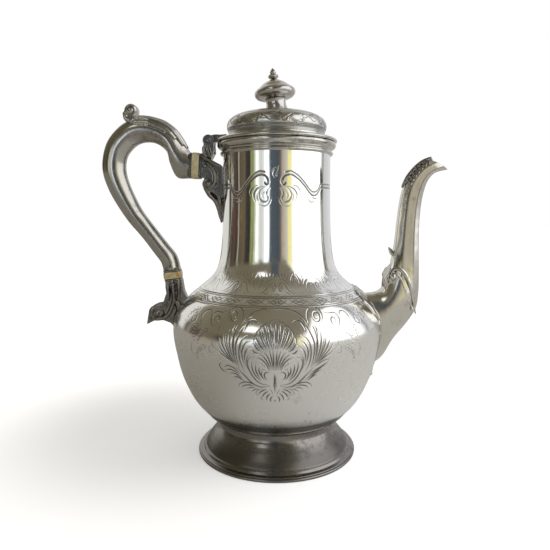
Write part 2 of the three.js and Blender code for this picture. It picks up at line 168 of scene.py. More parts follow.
def quad_mesh(name, verts, quads, normals=None):
    """A large mesh of quads from arrays, with its own normals at the points if given."""
    mesh = bpy.data.meshes.new(name)
    mesh.vertices.add(len(verts))
    mesh.vertices.foreach_set("co", (verts * MM).ravel())
    mesh.loops.add(quads.size)
    mesh.loops.foreach_set("vertex_index", quads.astype(np.int32).ravel())
    mesh.polygons.add(len(quads))
    mesh.polygons.foreach_set("loop_start", np.arange(0, quads.size, 4, dtype=np.int32))
    mesh.update(calc_edges=True)
    mesh.shade_smooth()
    if normals is not None:
        mesh.normals_split_custom_set_from_vertices(normals.tolist())
    return link(name, mesh)


def grid_faces(rows, columns, wrap_rows=False, wrap_columns=False):
    """Quads between neighbouring rows and columns of points, which may close on themselves."""
    i = np.arange(rows if wrap_rows else rows - 1)
    j = np.arange(columns if wrap_columns else columns - 1)
    i, j = [a.ravel() for a in np.meshgrid(i, j, indexing="ij")]
    ni = (i + 1) % rows
    nj = (j + 1) % columns
    return np.column_stack([i * columns + j, ni * columns + j, ni * columns + nj, i * columns + nj])


def capped_faces(rows, sides):
    """Quads round rows of points, and a flat face over each end."""
    faces = grid_faces(rows, sides, wrap_columns=True).tolist()
    faces.append(list(range(sides))[::-1])
    faces.append(list(range((rows - 1) * sides, rows * sides)))
    return faces


def placed(points, place):
    """Points moved by a 4 x 4 matrix."""
    return points @ place[:3, :3].T + place[:3, 3]


def facing_out(obj):
    """Turns the faces of a closed mesh outwards."""
    work = bmesh.new()
    work.from_mesh(obj.data)
    bmesh.ops.recalc_face_normals(work, faces=work.faces)
    work.to_mesh(obj.data)
    work.free()
    return obj


def set_dirt_and_shade(obj, values):
    """How dark each point is painted, 0 to 1, which the metals read: dirt in grooves, or painted shade."""
    layer = obj.data.attributes.new("dirt_and_shade", "FLOAT", "POINT")
    layer.data.foreach_set("value", np.asarray(values, np.float32).ravel())


def read_points(obj, what="co"):
    """The vertices of an object, as they are stored: positions in metres, or normals."""
    values = np.empty(len(obj.data.vertices) * 3)
    obj.data.vertices.foreach_get(what, values)
    return values.reshape(-1, 3)


def around(outline, angles):
    """Points of an outline of [radius, height] turned to each angle, as angles x outline x 3."""
    r, z = np.asarray(outline, float).T
    return np.stack([np.outer(np.sin(angles), r), np.outer(-np.cos(angles), r),
                     np.broadcast_to(z, (len(angles), len(z)))], -1)


def turned(name, outline, sides=192, closed=True, corner=0.3, lift=None):
    """A body of revolution from an outline of [radius, height]. lift leans it by a matrix."""
    section = filleted(outline, corner, closed=closed)
    points = around(section, on_disc(sides)).reshape(-1, 3)
    faces = grid_faces(sides, len(section), wrap_rows=True, wrap_columns=closed)
    if lift is not None:
        points = placed(points, lift)
    return facing_out(make_object(name, points, faces))


def mirrored_down(outline):
    """An outline of [radius, height] that ends at height 0, continued below it."""
    return outline + [(r, -z) for r, z in outline[::-1][1:]]


def finished(obj, body, slot, material, *nodes):
    """Gives a piece its material and body, and hides the CAD nodes that it stands in for. slot is not used.
    """
    obj.data.materials.clear()
    obj.data.materials.append(material)
    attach(obj, body)
    if nodes:
        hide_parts(*nodes)
    return obj


# ---------------------------------------------------------------- solid building blocks, in mm
def tube(points, radii, sides=12, flatten=1.0):
    """A bar along points in space, with a radius at each, and rounded ends. flatten scales it in y."""
    p = np.asarray(points, float)
    r = np.asarray(radii, float) * np.ones(len(p))
    along = directions(p)
    ends = np.radians([80, 50, 25])
    rings = [*(p[0] - along[0] * r[0] * math.sin(k) for k in ends), *p,
             *(p[-1] + along[-1] * r[-1] * math.sin(k) for k in ends[::-1])]
    sizes = [*(r[0] * np.cos(ends)), *r, *(r[-1] * np.cos(ends[::-1]))]
    ways = [along[0]] * 3 + [*along] + [along[-1]] * 3
    out = []
    angle = on_disc(sides)
    for centre, size, way in zip(rings, sizes, ways):
        side = np.array([0, 1.0, 0]) if abs(way[1]) < 0.9 else np.array([1.0, 0, 0])
        side = side - way * side.dot(way)
        side /= np.linalg.norm(side)
        other = np.cross(way, side)
        out.append(centre + size * (np.outer(np.cos(angle) * flatten, side) + np.outer(np.sin(angle), other)))
    return np.vstack(out), capped_faces(len(out), sides)


def ball(centre, radius, squash=1.0):
    """A round knob; squash scales it in y."""
    sides = 20
    turn = np.linspace(0, np.pi, 13)[1:-1]
    angle = on_disc(sides)
    rings = [np.column_stack([centre[0] + radius * math.sin(t) * np.cos(angle),
                              np.full(sides, centre[1] - radius * squash * math.cos(t)),
                              centre[2] + radius * math.sin(t) * np.sin(angle)]) for t in turn]
    return np.vstack(rings), capped_faces(len(rings), sides)


def slab(outline, half, y=0.0):
    """A plate of an [x, z] outline, from y - half to y + half."""
    p = np.asarray(outline, float)
    count = len(p)
    sides = [np.column_stack([p[:, 0], np.full(count, y + s * half), p[:, 1]]) for s in (-1, 1)]
    faces = [[i, (i + 1) % count, count + (i + 1) % count, count + i] for i in range(count)]
    faces.append(list(range(count))[::-1])
    faces.append(list(range(count, 2 * count)))
    return np.vstack(sides), faces


def in_plane(points):
    """Points of [x, z] placed in the plane of the handle and the spout."""
    p = np.asarray(points, float)
    return np.column_stack([p[:, 0], np.zeros(len(p)), p[:, 1]])


def spiral(centre, start_radius, end_radius, start_angle, turns, count=30):
    """[x, z] points winding in from start_radius to end_radius; angles are from +X towards +Z."""
    t = np.linspace(0, 1, count)
    angle = math.radians(start_angle) + 2 * np.pi * turns * t
    radius = start_radius + (end_radius - start_radius) * t
    return np.column_stack([centre[0] + radius * np.cos(angle), centre[1] + radius * np.sin(angle)])


def cast(name, parts, voxel=0.42, rounds=3):
    """Fuses overlapping solids into one skin with soft corners, as a casting has them."""
    verts, faces, start = [], [], 0
    for part_verts, part_faces in parts:
        verts.append(part_verts)
        faces.extend([[int(v) + start for v in f] for f in part_faces])
        start += len(part_verts)
    raw = facing_out(make_object(name + "_raw", np.vstack(verts), faces, crease=0))
    fuse = raw.modifiers.new("fuse", "REMESH")
    fuse.mode = "VOXEL"
    fuse.voxel_size = voxel * MM
    soften = raw.modifiers.new("soften", "SMOOTH")
    soften.factor = 0.5
    soften.iterations = rounds
    mesh = bpy.data.meshes.new_from_object(raw.evaluated_get(bpy.context.evaluated_depsgraph_get()))
    bpy.data.objects.remove(raw)
    mesh.name = name
    mesh.shade_smooth()
    return link(name, mesh)


def chased(obj, paths, depth=0.35, width=0.7):
    """Cuts grooves along [x, z] paths into both flat sides of a casting."""
    points = read_points(obj) / MM
    side = read_points(obj, "normal")[:, 1]
    cut = np.zeros(len(points))
    for path in paths:
        gap, where = distance_to(curve(path, 14), points[:, 0], points[:, 2])
        wide = width * (0.35 + 0.65 * np.sin(np.pi * np.clip(where, 0, 1)))
        cut = np.maximum(cut, depth * np.clip(1 - (gap / wide) ** 2, 0, 1))
    points[:, 1] -= cut * side
    obj.data.vertices.foreach_set("co", (points * MM).ravel())
    obj.data.update()
    set_dirt_and_shade(obj, np.clip(cut / depth, 0, 1))
    return obj


# ---------------------------------------------------------------- shader nodes
class Shading:
    """Short names for the shader nodes that the materials and the world share."""

    def __init__(self, owner):
        owner.use_nodes = True
        self.tree = owner.node_tree
        self.tree.nodes.clear()

    def node(self, kind, inputs=None, out=0, **settings):
        """Adds a node and gives back one of its outputs. inputs are sockets or values, by name or place."""
        made = self.tree.nodes.new(kind)
        for key, value in settings.items():
            setattr(made, key, value)
        for key, value in (inputs or {}).items():
            if isinstance(value, bpy.types.NodeSocket):
                self.tree.links.new(value, made.inputs[key])
            else:
                made.inputs[key].default_value = value
        return made.outputs[out] if made.outputs else made

    def math(self, operation, a, b=0.0, c=0.0):
        return self.node("ShaderNodeMath", {0: a, 1: b, 2: c}, operation=operation)

    def smooth(self, value, low, high, to_low=0.0, to_high=1.0):
        """Goes from to_low to to_high, eased, as the value goes from low to high."""
        return self.node("ShaderNodeMapRange", {0: value, 1: low, 2: high, 3: to_low, 4: to_high},
                         interpolation_type="SMOOTHSTEP")

    def window(self, value, low, high, soft):
        """1 between low and high, fading over soft at each side."""
        rise = self.smooth(value, low - soft, low + soft)
        fall = self.smooth(value, high - soft, high + soft, 1.0, 0.0)
        return self.math("MULTIPLY", rise, fall)

    def mix(self, factor, a, b):
        return self.node("ShaderNodeMix", {0: factor, 6: a, 7: b}, out=2, data_type="RGBA")

    def noise(self, vector, scale, detail=3.0, roughness=0.55):
        return self.node("ShaderNodeTexNoise",
                         {"Vector": vector, "Scale": scale, "Detail": detail, "Roughness": roughness})

    def colours(self, value, stops, smooth=True):
        made = self.tree.nodes.new("ShaderNodeValToRGB")
        self.tree.links.new(value, made.inputs[0])
        strip = made.color_ramp
        strip.interpolation = "EASE" if smooth else "LINEAR"
        while len(strip.elements) < len(stops):
            strip.elements.new(1.0)
        for element, (at, colour) in zip(strip.elements, stops):
            element.position = at
            element.color = (*colour, 1.0)
        return made.outputs[0]

    def own_space(self):
        """The position in the object's own space, in metres."""
        return self.node("ShaderNodeTexCoord", out=3)

    def parts(self, vector):
        """The x, y and z of a vector."""
        made = self.tree.nodes.new("ShaderNodeSeparateXYZ")
        self.tree.links.new(vector, made.inputs[0])
        return made.outputs

    def surface(self, colour, rough, bump, more):
        """Closes a material with one principled shader."""
        inputs = {"Base Color": colour, "Roughness": rough, "Normal": bump, **more}
        self.node("ShaderNodeOutputMaterial", {"Surface": self.node("ShaderNodeBsdfPrincipled", inputs)})


def linear(r, g, b, gain=1.0):
    """A linear colour from 0-255 display values."""
    value = np.array([r, g, b]) / 255
    return tuple(gain * np.where(value < 0.04045, value / 12.92, ((value + 0.055) / 1.055) ** 2.4))


def rgba(*colour):
    """A colour with full opacity."""
    return (*colour, 1.0)


# ---------------------------------------------------------------- materials
def silver_material(name, clean, stain, roughness, stained_rough, cover, scratch=0.35, waves=0.25, edges=0.0,
                    dirt_and_shade_colour=(0.035, 0.032, 0.030), specks=0.35, satin=None):
    """Silver with patches of tarnish, scratches, and darker recesses and brighter edges.

    clean and stain are the colours of bare and of tarnished metal, each with its own roughness, and cover is
    how much is tarnished. scratch and waves are the strengths of the fine and the broad bumps.
    edges is how much sharp corners are polished and inner ones darkened. satin is (height where it starts,
    height where it is full, roughness added), in metres. An attribute of a mesh, where it has one, says
    how far it is darkened: dirt in engraved and chased grooves, and painted shade on some pieces.
    """
    material = bpy.data.materials.new(name)
    s = Shading(material)
    place = s.own_space()
    broad = s.noise(place, 22.0, 4.0, 0.6)
    fine = s.noise(place, 260.0, 5.0, 0.65)
    speck = s.noise(place, 900.0, 3.0, 0.6)
    blotch = s.math("MULTIPLY_ADD", fine, 0.35, s.math("MULTIPLY", broad, 0.65))
    patch = s.smooth(blotch, 0.66 - 0.3 * cover, 0.76 - 0.25 * cover)
    dirt_and_shade = s.node("ShaderNodeAttribute", out=2, attribute_name="dirt_and_shade")
    colour = s.mix(s.math("MULTIPLY", patch, 0.8), rgba(*clean), rgba(*stain))
    colour = s.mix(s.math("MULTIPLY", s.smooth(speck, 0.62, 0.8), specks), colour, rgba(*stain))
    rough = s.math("MULTIPLY_ADD", patch, stained_rough - roughness, roughness)
    rough = s.math("MULTIPLY_ADD", s.smooth(fine, 0.35, 0.75), 0.06, rough)
    if satin:
        up = s.parts(place)[2]
        worn = s.smooth(up, satin[1], satin[0], satin[2], 0.0)
        worn = s.math("MULTIPLY", worn, s.smooth(up, 0.029, 0.042))
        rough = s.math("ADD", rough, s.math("MULTIPLY", worn, s.smooth(blotch, 0.3, 0.6, 0.75, 1.1)))
    if edges:
        point = s.node("ShaderNodeNewGeometry", out=7)
        hollow = s.smooth(point, 0.44, 0.496, 1.0, 0.0)
        ridge = s.smooth(point, 0.504, 0.57)
        colour = s.mix(s.math("MULTIPLY", hollow, edges), colour, rgba(*dirt_and_shade_colour))
        colour = s.mix(s.math("MULTIPLY", ridge, 0.7 * edges), colour, rgba(*clean))
        rough = s.math("MULTIPLY_ADD", hollow, 0.22 * edges, rough)
        rough = s.math("MULTIPLY_ADD", ridge, -0.05 * edges, rough)
    # darkening from the attribute: dirt in grooves, and painted shade on the foot, the belly's bottom and the
    # lid
    colour = s.mix(s.math("MULTIPLY", dirt_and_shade, 0.9), colour, rgba(*dirt_and_shade_colour))
    rough = s.math("MULTIPLY_ADD", dirt_and_shade, 0.2, rough)

    across = s.node("ShaderNodeMapping", {0: place, 3: (40.0, 40.0, 1400.0)})
    lines = s.noise(across, 1.0, 3.0, 0.6)
    slant = s.node("ShaderNodeMapping", {0: place, 2: (0.5, 0.7, 0.3), 3: (1100.0, 60.0, 60.0)})
    hairs = s.smooth(s.noise(slant, 1.0, 2.0, 0.5), 0.6, 0.72)
    bump = s.node("ShaderNodeBump", {"Strength": waves, "Distance": 0.0004,
                                     "Height": s.noise(place, 95.0, 1.0, 0.4)})
    grain = s.math("ADD", s.math("MULTIPLY", lines, 0.4), s.math("MULTIPLY", hairs, 0.8))
    bump = s.node("ShaderNodeBump", {"Strength": scratch, "Distance": 0.00002, "Height": grain,
                                     "Normal": bump})
    s.surface(colour, rough, bump, {"Metallic": 1.0})
    return material


BRIGHT = (0.86, 0.855, 0.835)
WORN = (0.50, 0.47, 0.42)
BROWN = (0.13, 0.105, 0.085)

body_silver = silver_material("body_silver", (0.90, 0.893, 0.88), (0.62, 0.60, 0.57), 0.1, 0.2, 0.28,
                              scratch=0.4, waves=0.16, specks=0.15, satin=(0.116, 0.078, 0.19))
neck_silver = silver_material("neck_silver", BRIGHT, WORN, 0.05, 0.12, 0.2, scratch=0.2, waves=0.1)
handle_silver = silver_material("handle_silver", (0.50, 0.485, 0.455), (0.22, 0.20, 0.175), 0.17, 0.28, 0.5,
                                scratch=0.6, waves=0.4, edges=0.7)
spout_silver = silver_material("spout_silver", (0.72, 0.70, 0.65), (0.40, 0.37, 0.31), 0.14, 0.24, 0.4,
                               scratch=0.5, waves=0.4, edges=0.8)
rim_silver = silver_material("rim_silver", (0.64, 0.625, 0.595), (0.34, 0.32, 0.295), 0.14, 0.24, 0.4,
                             edges=0.6, specks=0.1)
leaf_silver = silver_material("leaf_metal", (0.66, 0.64, 0.60), (0.36, 0.33, 0.29), 0.2, 0.32, 0.45,
                              scratch=0.5, waves=0.3, edges=1.0)
cast_silver = silver_material("cast_silver_metal", (0.29, 0.278, 0.265), (0.09, 0.083, 0.077), 0.2, 0.34, 0.5,
                              scratch=0.5, waves=0.3, edges=1.0, dirt_and_shade_colour=(0.02, 0.018, 0.017))
dark_silver = silver_material("tarnished_metal", (0.27, 0.252, 0.24), (0.14, 0.122, 0.108), 0.2, 0.28, 0.42,
                              waves=0.15, edges=0.3, specks=0.0)
finial_silver = silver_material("finial_metal", (0.56, 0.53, 0.51), (0.32, 0.29, 0.27), 0.18, 0.28, 0.4,
                                waves=0.2, edges=0.4, specks=0.1)
inner_silver = silver_material("inside_metal", (0.42, 0.39, 0.34), BROWN, 0.35, 0.5, 0.6)


def brass_material():
    """Brass that has clouded over in places."""
    material = bpy.data.materials.new("brass_metal")
    s = Shading(material)
    place = s.own_space()
    cloud = s.noise(place, 240.0, 4.0)
    colour = s.mix(s.smooth(cloud, 0.4, 0.7), rgba(0.62, 0.45, 0.17), rgba(0.24, 0.16, 0.07))
    rough = s.math("MULTIPLY_ADD", cloud, 0.25, 0.2)
    bump = s.node("ShaderNodeBump", {"Strength": 0.3, "Distance": 0.00005, "Height": cloud})
    s.surface(colour, rough, bump, {"Metallic": 1.0})
    return material


def ivory_material(name, amber):
    """Old ivory: fine grain along the block, yellowing, and an orange stain where amber is above 0."""
    material = bpy.data.materials.new(name)
    s = Shading(material)
    place = s.own_space()
    grain = s.noise(s.node("ShaderNodeMapping", {0: place, 3: (260.0, 260.0, 1700.0)}), 1.0, 4.0)
    cloud = s.noise(place, 170.0, 3.0)
    colour = s.mix(s.smooth(cloud, 0.35, 0.7), rgba(0.80, 0.74, 0.50), rgba(0.66, 0.56, 0.30))
    colour = s.mix(s.math("MULTIPLY", s.smooth(grain, 0.5, 0.75), 0.45), colour, rgba(0.42, 0.32, 0.16))
    colour = s.mix(s.math("MULTIPLY", s.smooth(cloud, 0.52, 0.6), amber), colour, rgba(0.75, 0.36, 0.08))
    rough = s.math("MULTIPLY_ADD", grain, 0.2, 0.28)
    bump = s.node("ShaderNodeBump", {"Strength": 0.3, "Distance": 0.00006, "Height": grain})
    s.surface(colour, rough, bump, {"Subsurface Weight": 0.12, "Subsurface Scale": 0.002})
    return material


brass = brass_material()
upper_ivory = ivory_material("upper_ivory", 0.1)
lower_ivory = ivory_material("lower_ivory", 0.9)


# ---------------------------------------------------------------- engraving
class Plate:
    """A grid of points over a surface of revolution, on which strokes are cut.

    across holds the places of its columns, as distances round the pot in mm, and up those of its rows, as
    heights or distances along the outline. Both are already multiplied by stretch. draw and ring multiply
    what they are given by stretch too, and stroke takes it as it is.
    """

    def __init__(self, across, up, stretch=(1, 1)):
        self.across = across
        self.up = up
        self.stretch = np.array(stretch)
        self.depth = np.zeros((len(up), len(across)))

    def stroke(self, path, width, depth, taper=0.35, count=26):
        """A groove along points of [across, up], thinner towards its ends."""
        line = curve(path, count)
        reach = width + 0.2
        low = line.min(axis=0) - reach
        high = line.max(axis=0) + reach
        columns = np.nonzero((self.across >= low[0]) & (self.across <= high[0]))[0]
        rows = np.nonzero((self.up >= low[1]) & (self.up <= high[1]))[0]
        if not len(columns) or not len(rows):
            return
        x, z = np.meshgrid(self.across[columns], self.up[rows])
        gap, where = distance_to(line, x, z)
        body = np.clip(np.minimum(where, 1 - where) / taper, 0, 1) if taper else np.ones_like(where)
        scale = 0.3 + 0.7 * body**0.7
        cut = depth * scale * np.clip(1 - gap / (width * scale), 0, 1)
        block = np.ix_(rows, columns)
        self.depth[block] = np.maximum(self.depth[block], cut)

    def draw(self, groups, side=1, shift=0.0):
        """Cuts groups of (paths, width, depth), turned over if side is -1 and moved sideways by shift."""
        for paths, width, depth in groups:
            for path in paths:
                line = np.asarray(path, float) * [side, 1] + [shift, 0]
                self.stroke(line * self.stretch, width, depth)

    def ring(self, height, width, depth):
        """A plain line all the way round."""
        gap = np.abs(self.up - height * self.stretch[1])
        self.depth = np.maximum(self.depth, (depth * np.clip(1 - gap / width, 0, 1))[:, None])


def feather(spine, left, right, count, start=0.12, lean=0.62, curl=0.25):
    """Strokes of a leaf: its spine, and barbs that leave it on each side and bend towards its tip.

    left and right are the longest barbs of each side, in mm; 0 leaves a side bare.
    """
    line = curve(spine, 60)
    way = directions(line)
    paths = [line[::6]]
    for side, longest in ((1, left), (-1, right)):
        if not longest:
            continue
        for k in range(count):
            t = start + (0.98 - start) * k / (count - 1)
            at = int(t * 59)
            length = longest * (0.45 + 0.55 * math.sin(math.pi * min(1, 0.25 + 0.75 * t))) * (1 - 0.35 * t)
            along = way[at]
            out = side * np.array([-along[1], along[0]])
            middle = line[at] + length * 0.5 * (along * (1 - lean) + out * lean * (1 + curl))
            end = line[at] + length * (along * (1 - 0.35 * lean) + out * lean)
            paths.append(np.array([line[at] + 0.25 * (middle - line[at]), middle, end]))
    return paths


def mirrored(paths):
    """Paths turned over from left to right."""
    return [np.asarray(p) * [-1, 1] for p in paths]


def cartouche():
    """The large palmette on the belly, as groups of (paths, width, depth).

    The points are (across, height): mm from the palmette's middle, and mm above the table.
    """
    bold, plain, fine = [], [], []
    # the shell: short plumes below, long gouges above, and its scalloped edge
    bold += [
        [(0.5, 81.4), (0.7, 87), (1.0, 91), (1.3, 94)],
        [(1.2, 81.8), (1.7, 87), (2.6, 91), (3.6, 94.2)],
        [(2.0, 81.6), (2.9, 86.4), (4.6, 90.4), (6.6, 93.2)],
        [(2.9, 81.2), (4.0, 85.6), (6.4, 89.6), (9.2, 92)],
        [(3.7, 81), (5.0, 85), (8.0, 88.4), (11.2, 89.8)],
        [(1.6, 95), (2.5, 101.5), (3.2, 110.4)], [(3.2, 95.4), (5.0, 101), (6.6, 108.6)],
        [(4.8, 95.2), (7.4, 99.6), (9.4, 106)], [(6.4, 94.6), (9.2, 97.6), (11.2, 102.4)],
        [(8.0, 93.4), (10.8, 95.2), (12.8, 98.4)], [(9.6, 92), (12, 92.6), (13.8, 94.4)],
    ]
    fine += [
        [(0.9, 96), (1.4, 103), (1.6, 109)], [(2.4, 96.4), (3.8, 102), (5, 108.4)],
        [(4, 96), (6.2, 100.6), (8.2, 106.6)], [(5.8, 95.6), (8.6, 99), (10.6, 103.6)],
        [(7.4, 94.4), (10.2, 96.6), (12.2, 100)],
        [(0, 111.6), (1.6, 112), (3.2, 110.6), (5, 110.6), (6.6, 108.9), (8.2, 108.4), (9.6, 106.2),
         (11, 105), (11.6, 102.4), (12.8, 101), (13, 98.2), (14.2, 96.8), (14, 94.4)],
    ]
    # the nested volutes and the rosette inside each
    bold += [
        [(2.9, 71.2), (9.8, 72.8), (14, 77.2), (16.6, 82.8), (16.8, 87), (15, 89.6), (12.6, 89.4)],
        [(8.4, 73.6), (12.4, 78), (14.2, 83), (14, 87.2)],
        [(8.8, 75.2), (11.2, 79), (12, 82.6), (11.7, 85.6)],
        [(7.7, 76.6), (9.4, 79), (9.9, 81.6), (9.4, 83.8)],
    ]
    plain += [[(1.0, 70), (0.5, 74), (0.4, 79)]]
    bold += [[(6.4, 75), (8.0, 76.8), (8.5, 79.2), (7.6, 81.2)],
             [(4.6, 74.8), (6.2, 76.4), (6.6, 78.6), (5.2, 80.2), (3.4, 79.8)]]
    fine += [[(5.6, 81.2), (7.4, 82.2), (8.4, 81)],
             [(6.8, 84.2), (8.8, 86.4)], [(5.6, 83.2), (6.8, 85)], [(15.4, 79), (17.8, 84.6), (18, 88.6)]]
    # the stem, and the second low leaf
    bold += [
        [(2.9, 70.8), (6.6, 70.2), (10.9, 70.5), (15.2, 73), (20, 78), (24.7, 83)],
        [(10.9, 70.5), (14.8, 72.2), (19, 72.8), (22.8, 71.4), (24.2, 69)],
        [(13, 70.4), (16.6, 71), (20, 70.4), (21.9, 68.8)],
    ]
    plain += [[(12, 69.2), (15.4, 69.4), (18.8, 68.2)], [(10, 68.8), (12.8, 68.2), (15.6, 66.6)]]
    # the pendant
    fine += [[(3.5, 69.4), (1.9, 66.8), (1.2, 64.4)]]
    bold += [[(5.2, 68.8), (8.6, 67.2), (11, 65)], [(4.2, 67.6), (7, 65.4), (8.6, 62.8)],
             [(3, 66), (5.2, 63.4), (5.8, 60.6)], [(1.6, 64.2), (3, 61.8), (2.8, 59.2)]]
    fine += [[(6.4, 69.6), (10, 68.4), (12.4, 66.2), (12, 64.2), (9.6, 65)],
             [(9, 63.6), (9.2, 61.4), (7.6, 61.6)]]
    # the tall leaf beside the shell, and the palmette outside it
    bold += [
        [(19, 80), (21.4, 86), (22.2, 92.4), (21.4, 97.4), (19.4, 101), (16.2, 103)],
        [(18.6, 84), (20.2, 90), (19.9, 94.6), (17.8, 98.4), (14.9, 99.8)],
        [(18.4, 86.4), (18.6, 90.6), (17.3, 94), (15, 95.8)],
        [(22.4, 82), (24, 90), (24.2, 98), (21.4, 105.4), (19.6, 107.8)],
        [(23.4, 83), (25.6, 90.5), (26.4, 98), (25.4, 104.8), (24.2, 108)],
        [(24.2, 84), (27.2, 91), (28.8, 98), (29, 105.6)],
        [(24.8, 84.6), (28.8, 90.8), (31.4, 96.6), (32.8, 102.6)],
        [(25.2, 85), (30, 90.4), (33.2, 95), (35.6, 99.8)],
        [(25.6, 85), (30.8, 89.4), (34.6, 93), (37.6, 97)],
        [(25.8, 84.8), (31, 88.2), (34.6, 90.4), (37.8, 92.6)],
    ]
    plain += [[(17.6, 85), (17.2, 88.8), (15.8, 91.4)], [(25, 90), (26, 99), (27, 107)],
              [(27.4, 89), (30.2, 96.6), (31.4, 103.4)], [(28.4, 88.6), (32.4, 94), (34.6, 99)]]
    fine += [[(29, 88), (33.4, 92), (36.4, 95.6)], [(20.6, 90), (21.2, 95), (19, 99.6)],
             [(37.8, 92.6), (41, 95), (40.6, 98.6)], [(41, 95), (43.6, 93.2), (43, 90.2), (40.2, 90)]]
    # scrolls and rings of the border above
    plain += [
        [(2, 117.6), (9.8, 117.2), (15.3, 115.7), (19, 112.6), (21.8, 108.4)],
        [(10.8, 109.4), (13.4, 111.2), (16.6, 110.8), (18.6, 108.2), (19.6, 105.4)],
        [(22.2, 109.6), (22.2, 114.2), (24.8, 117.2), (28.6, 117.9), (32.4, 116.4), (33.2, 112.8),
         (31, 109.4)],
        spiral((28.6, 113.2), 3.4, 1.2, 200, 1.3, 24),
        [(34.6, 115.6), (38.6, 114.4), (44.6, 114.2), (46.4, 110.6), (43.8, 106.6), (39.4, 106)],
        spiral((41.4, 110), 2.9, 1.0, -60, -1.2, 24),
        [(46.4, 110.6), (50.2, 114.8), (55, 113.6), (56.2, 109.6), (53.4, 107.4)],
    ]
    fine += [[(25.6, 108.2), (26.4, 105.6), (24.8, 103.4)], [(36, 108.8), (37.6, 106), (36.6, 103.2)],
             [(14.6, 113), (17.4, 112.2), (19.8, 109.6)],
             [(57.2, 95.4), (60.4, 91.6), (60, 87), (56.6, 85.4)]]
    # looser sprays towards the handle and the spout
    fine += feather([(44.6, 104), (48.4, 102), (52.6, 98.6), (53.4, 94)], 3.2, 2.6, 6)
    fine += feather([(52.4, 108), (56.6, 105), (58.6, 100.6), (57.2, 95.4)], 3.2, 3.0, 6)
    fine += feather([(44.8, 94), (50, 91.6), (54.6, 87.8), (55.4, 82)], 3.4, 3.2, 7)
    fine += feather([(60.4, 112.4), (65.4, 113.6), (70.6, 110.8), (73, 105.6)], 3.0, 2.6, 6)
    plain.append(spiral((63.6, 108.4), 3.4, 0.7, 30, 1.5, 16))
    # the first low leaf points up on one side and curls over on the other
    right = [[(24.7, 83), (29.8, 85.9), (34.8, 87.2)], [(21.4, 78), (26, 80.8), (30.2, 83), (34.4, 86)],
             [(18.8, 73.8), (24.2, 78.4), (28.6, 81.4), (33, 83.9)], [(22, 75), (26, 78.7), (30, 80.8)],
             [(20.4, 73.4), (23.6, 76), (27, 77.8)]]
    left = [[(22, 77.8), (25.9, 81.4), (30.4, 82.7), (33.6, 81.3)],
            [(23, 77.4), (25.4, 79.2), (28.6, 80.4), (32.6, 79.6)], [(21, 75.4), (26.4, 78), (30, 77.6)],
            [(19.4, 73.2), (23.8, 75.6), (27.4, 75.4)],
            [(31.6, 78), (34.6, 79.4), (36.4, 82.4), (34.6, 84.4)]]
    middle = [[(0.1, 95), (0.2, 102), (0, 111)], [(0, 61.4), (0, 59.4), (0, 57.4)],
              [(-0.3, 79.6), (-0.2, 73), (0, 66)]]
    return [(bold + mirrored(bold) + middle + right + mirrored(left), 0.55, 0.34),
            (plain + mirrored(plain), 0.44, 0.26), (fine + mirrored(fine), 0.34, 0.19)]


CARTOUCHE = cartouche()
CARTOUCHE_AXIS = -1.3
BELLY_RADIUS = 75.0
NECK_RADIUS = 38.8
HALF_TURN = math.pi * BELLY_RADIUS


# ---------------------------------------------------------------- the body
# the raised skin from the foot to the rim, as (radius, height)
BODY_CURVE = [
    (42.2, 22), (52.9, 32), (62.5, 44), (69.9, 60), (73.9, 76), (76.2, 92), (74.1, 104), (65.8, 116),
    (56.5, 124), (47.4, 132), (42.9, 140), (40.6, 152), (39.4, 168), (38.8, 190), (38.7, 226.2),
]
WALL = 1.1
OUTLINE_R, OUTLINE_Z = catmull(BODY_CURVE, 40).T
OUTLINE_RUN = run_along(np.column_stack([OUTLINE_R, OUTLINE_Z]))


def body_radius(z):
    """Radius of the body's outline at a height."""
    return float(np.interp(z, OUTLINE_Z, OUTLINE_R))


def run_at(z):
    """Distance along the body's outline at a height."""
    return np.interp(z, OUTLINE_Z, OUTLINE_RUN)


def profile_at(run):
    """Radius, height and outward direction of the body's outline at distances along it."""
    r = np.interp(run, OUTLINE_RUN, OUTLINE_R)
    z = np.interp(run, OUTLINE_RUN, OUTLINE_Z)
    soft = 1.2
    dr, dz = [np.interp(run + soft, OUTLINE_RUN, value) - np.interp(run - soft, OUTLINE_RUN, value)
              for value in (OUTLINE_R, OUTLINE_Z)]
    size = np.hypot(dr, dz)
    return r, z, dz / size, -dr / size


def spaced(*spans):
    """Numbers over touching spans of (low, high, step)."""
    out = [np.linspace(low, high, max(2, int(round((high - low) / step)) + 1))[:-1]
           for low, high, step in spans]
    return np.concatenate([*out, [spans[-1][1]]])


DARK_DEPTH = 0.21


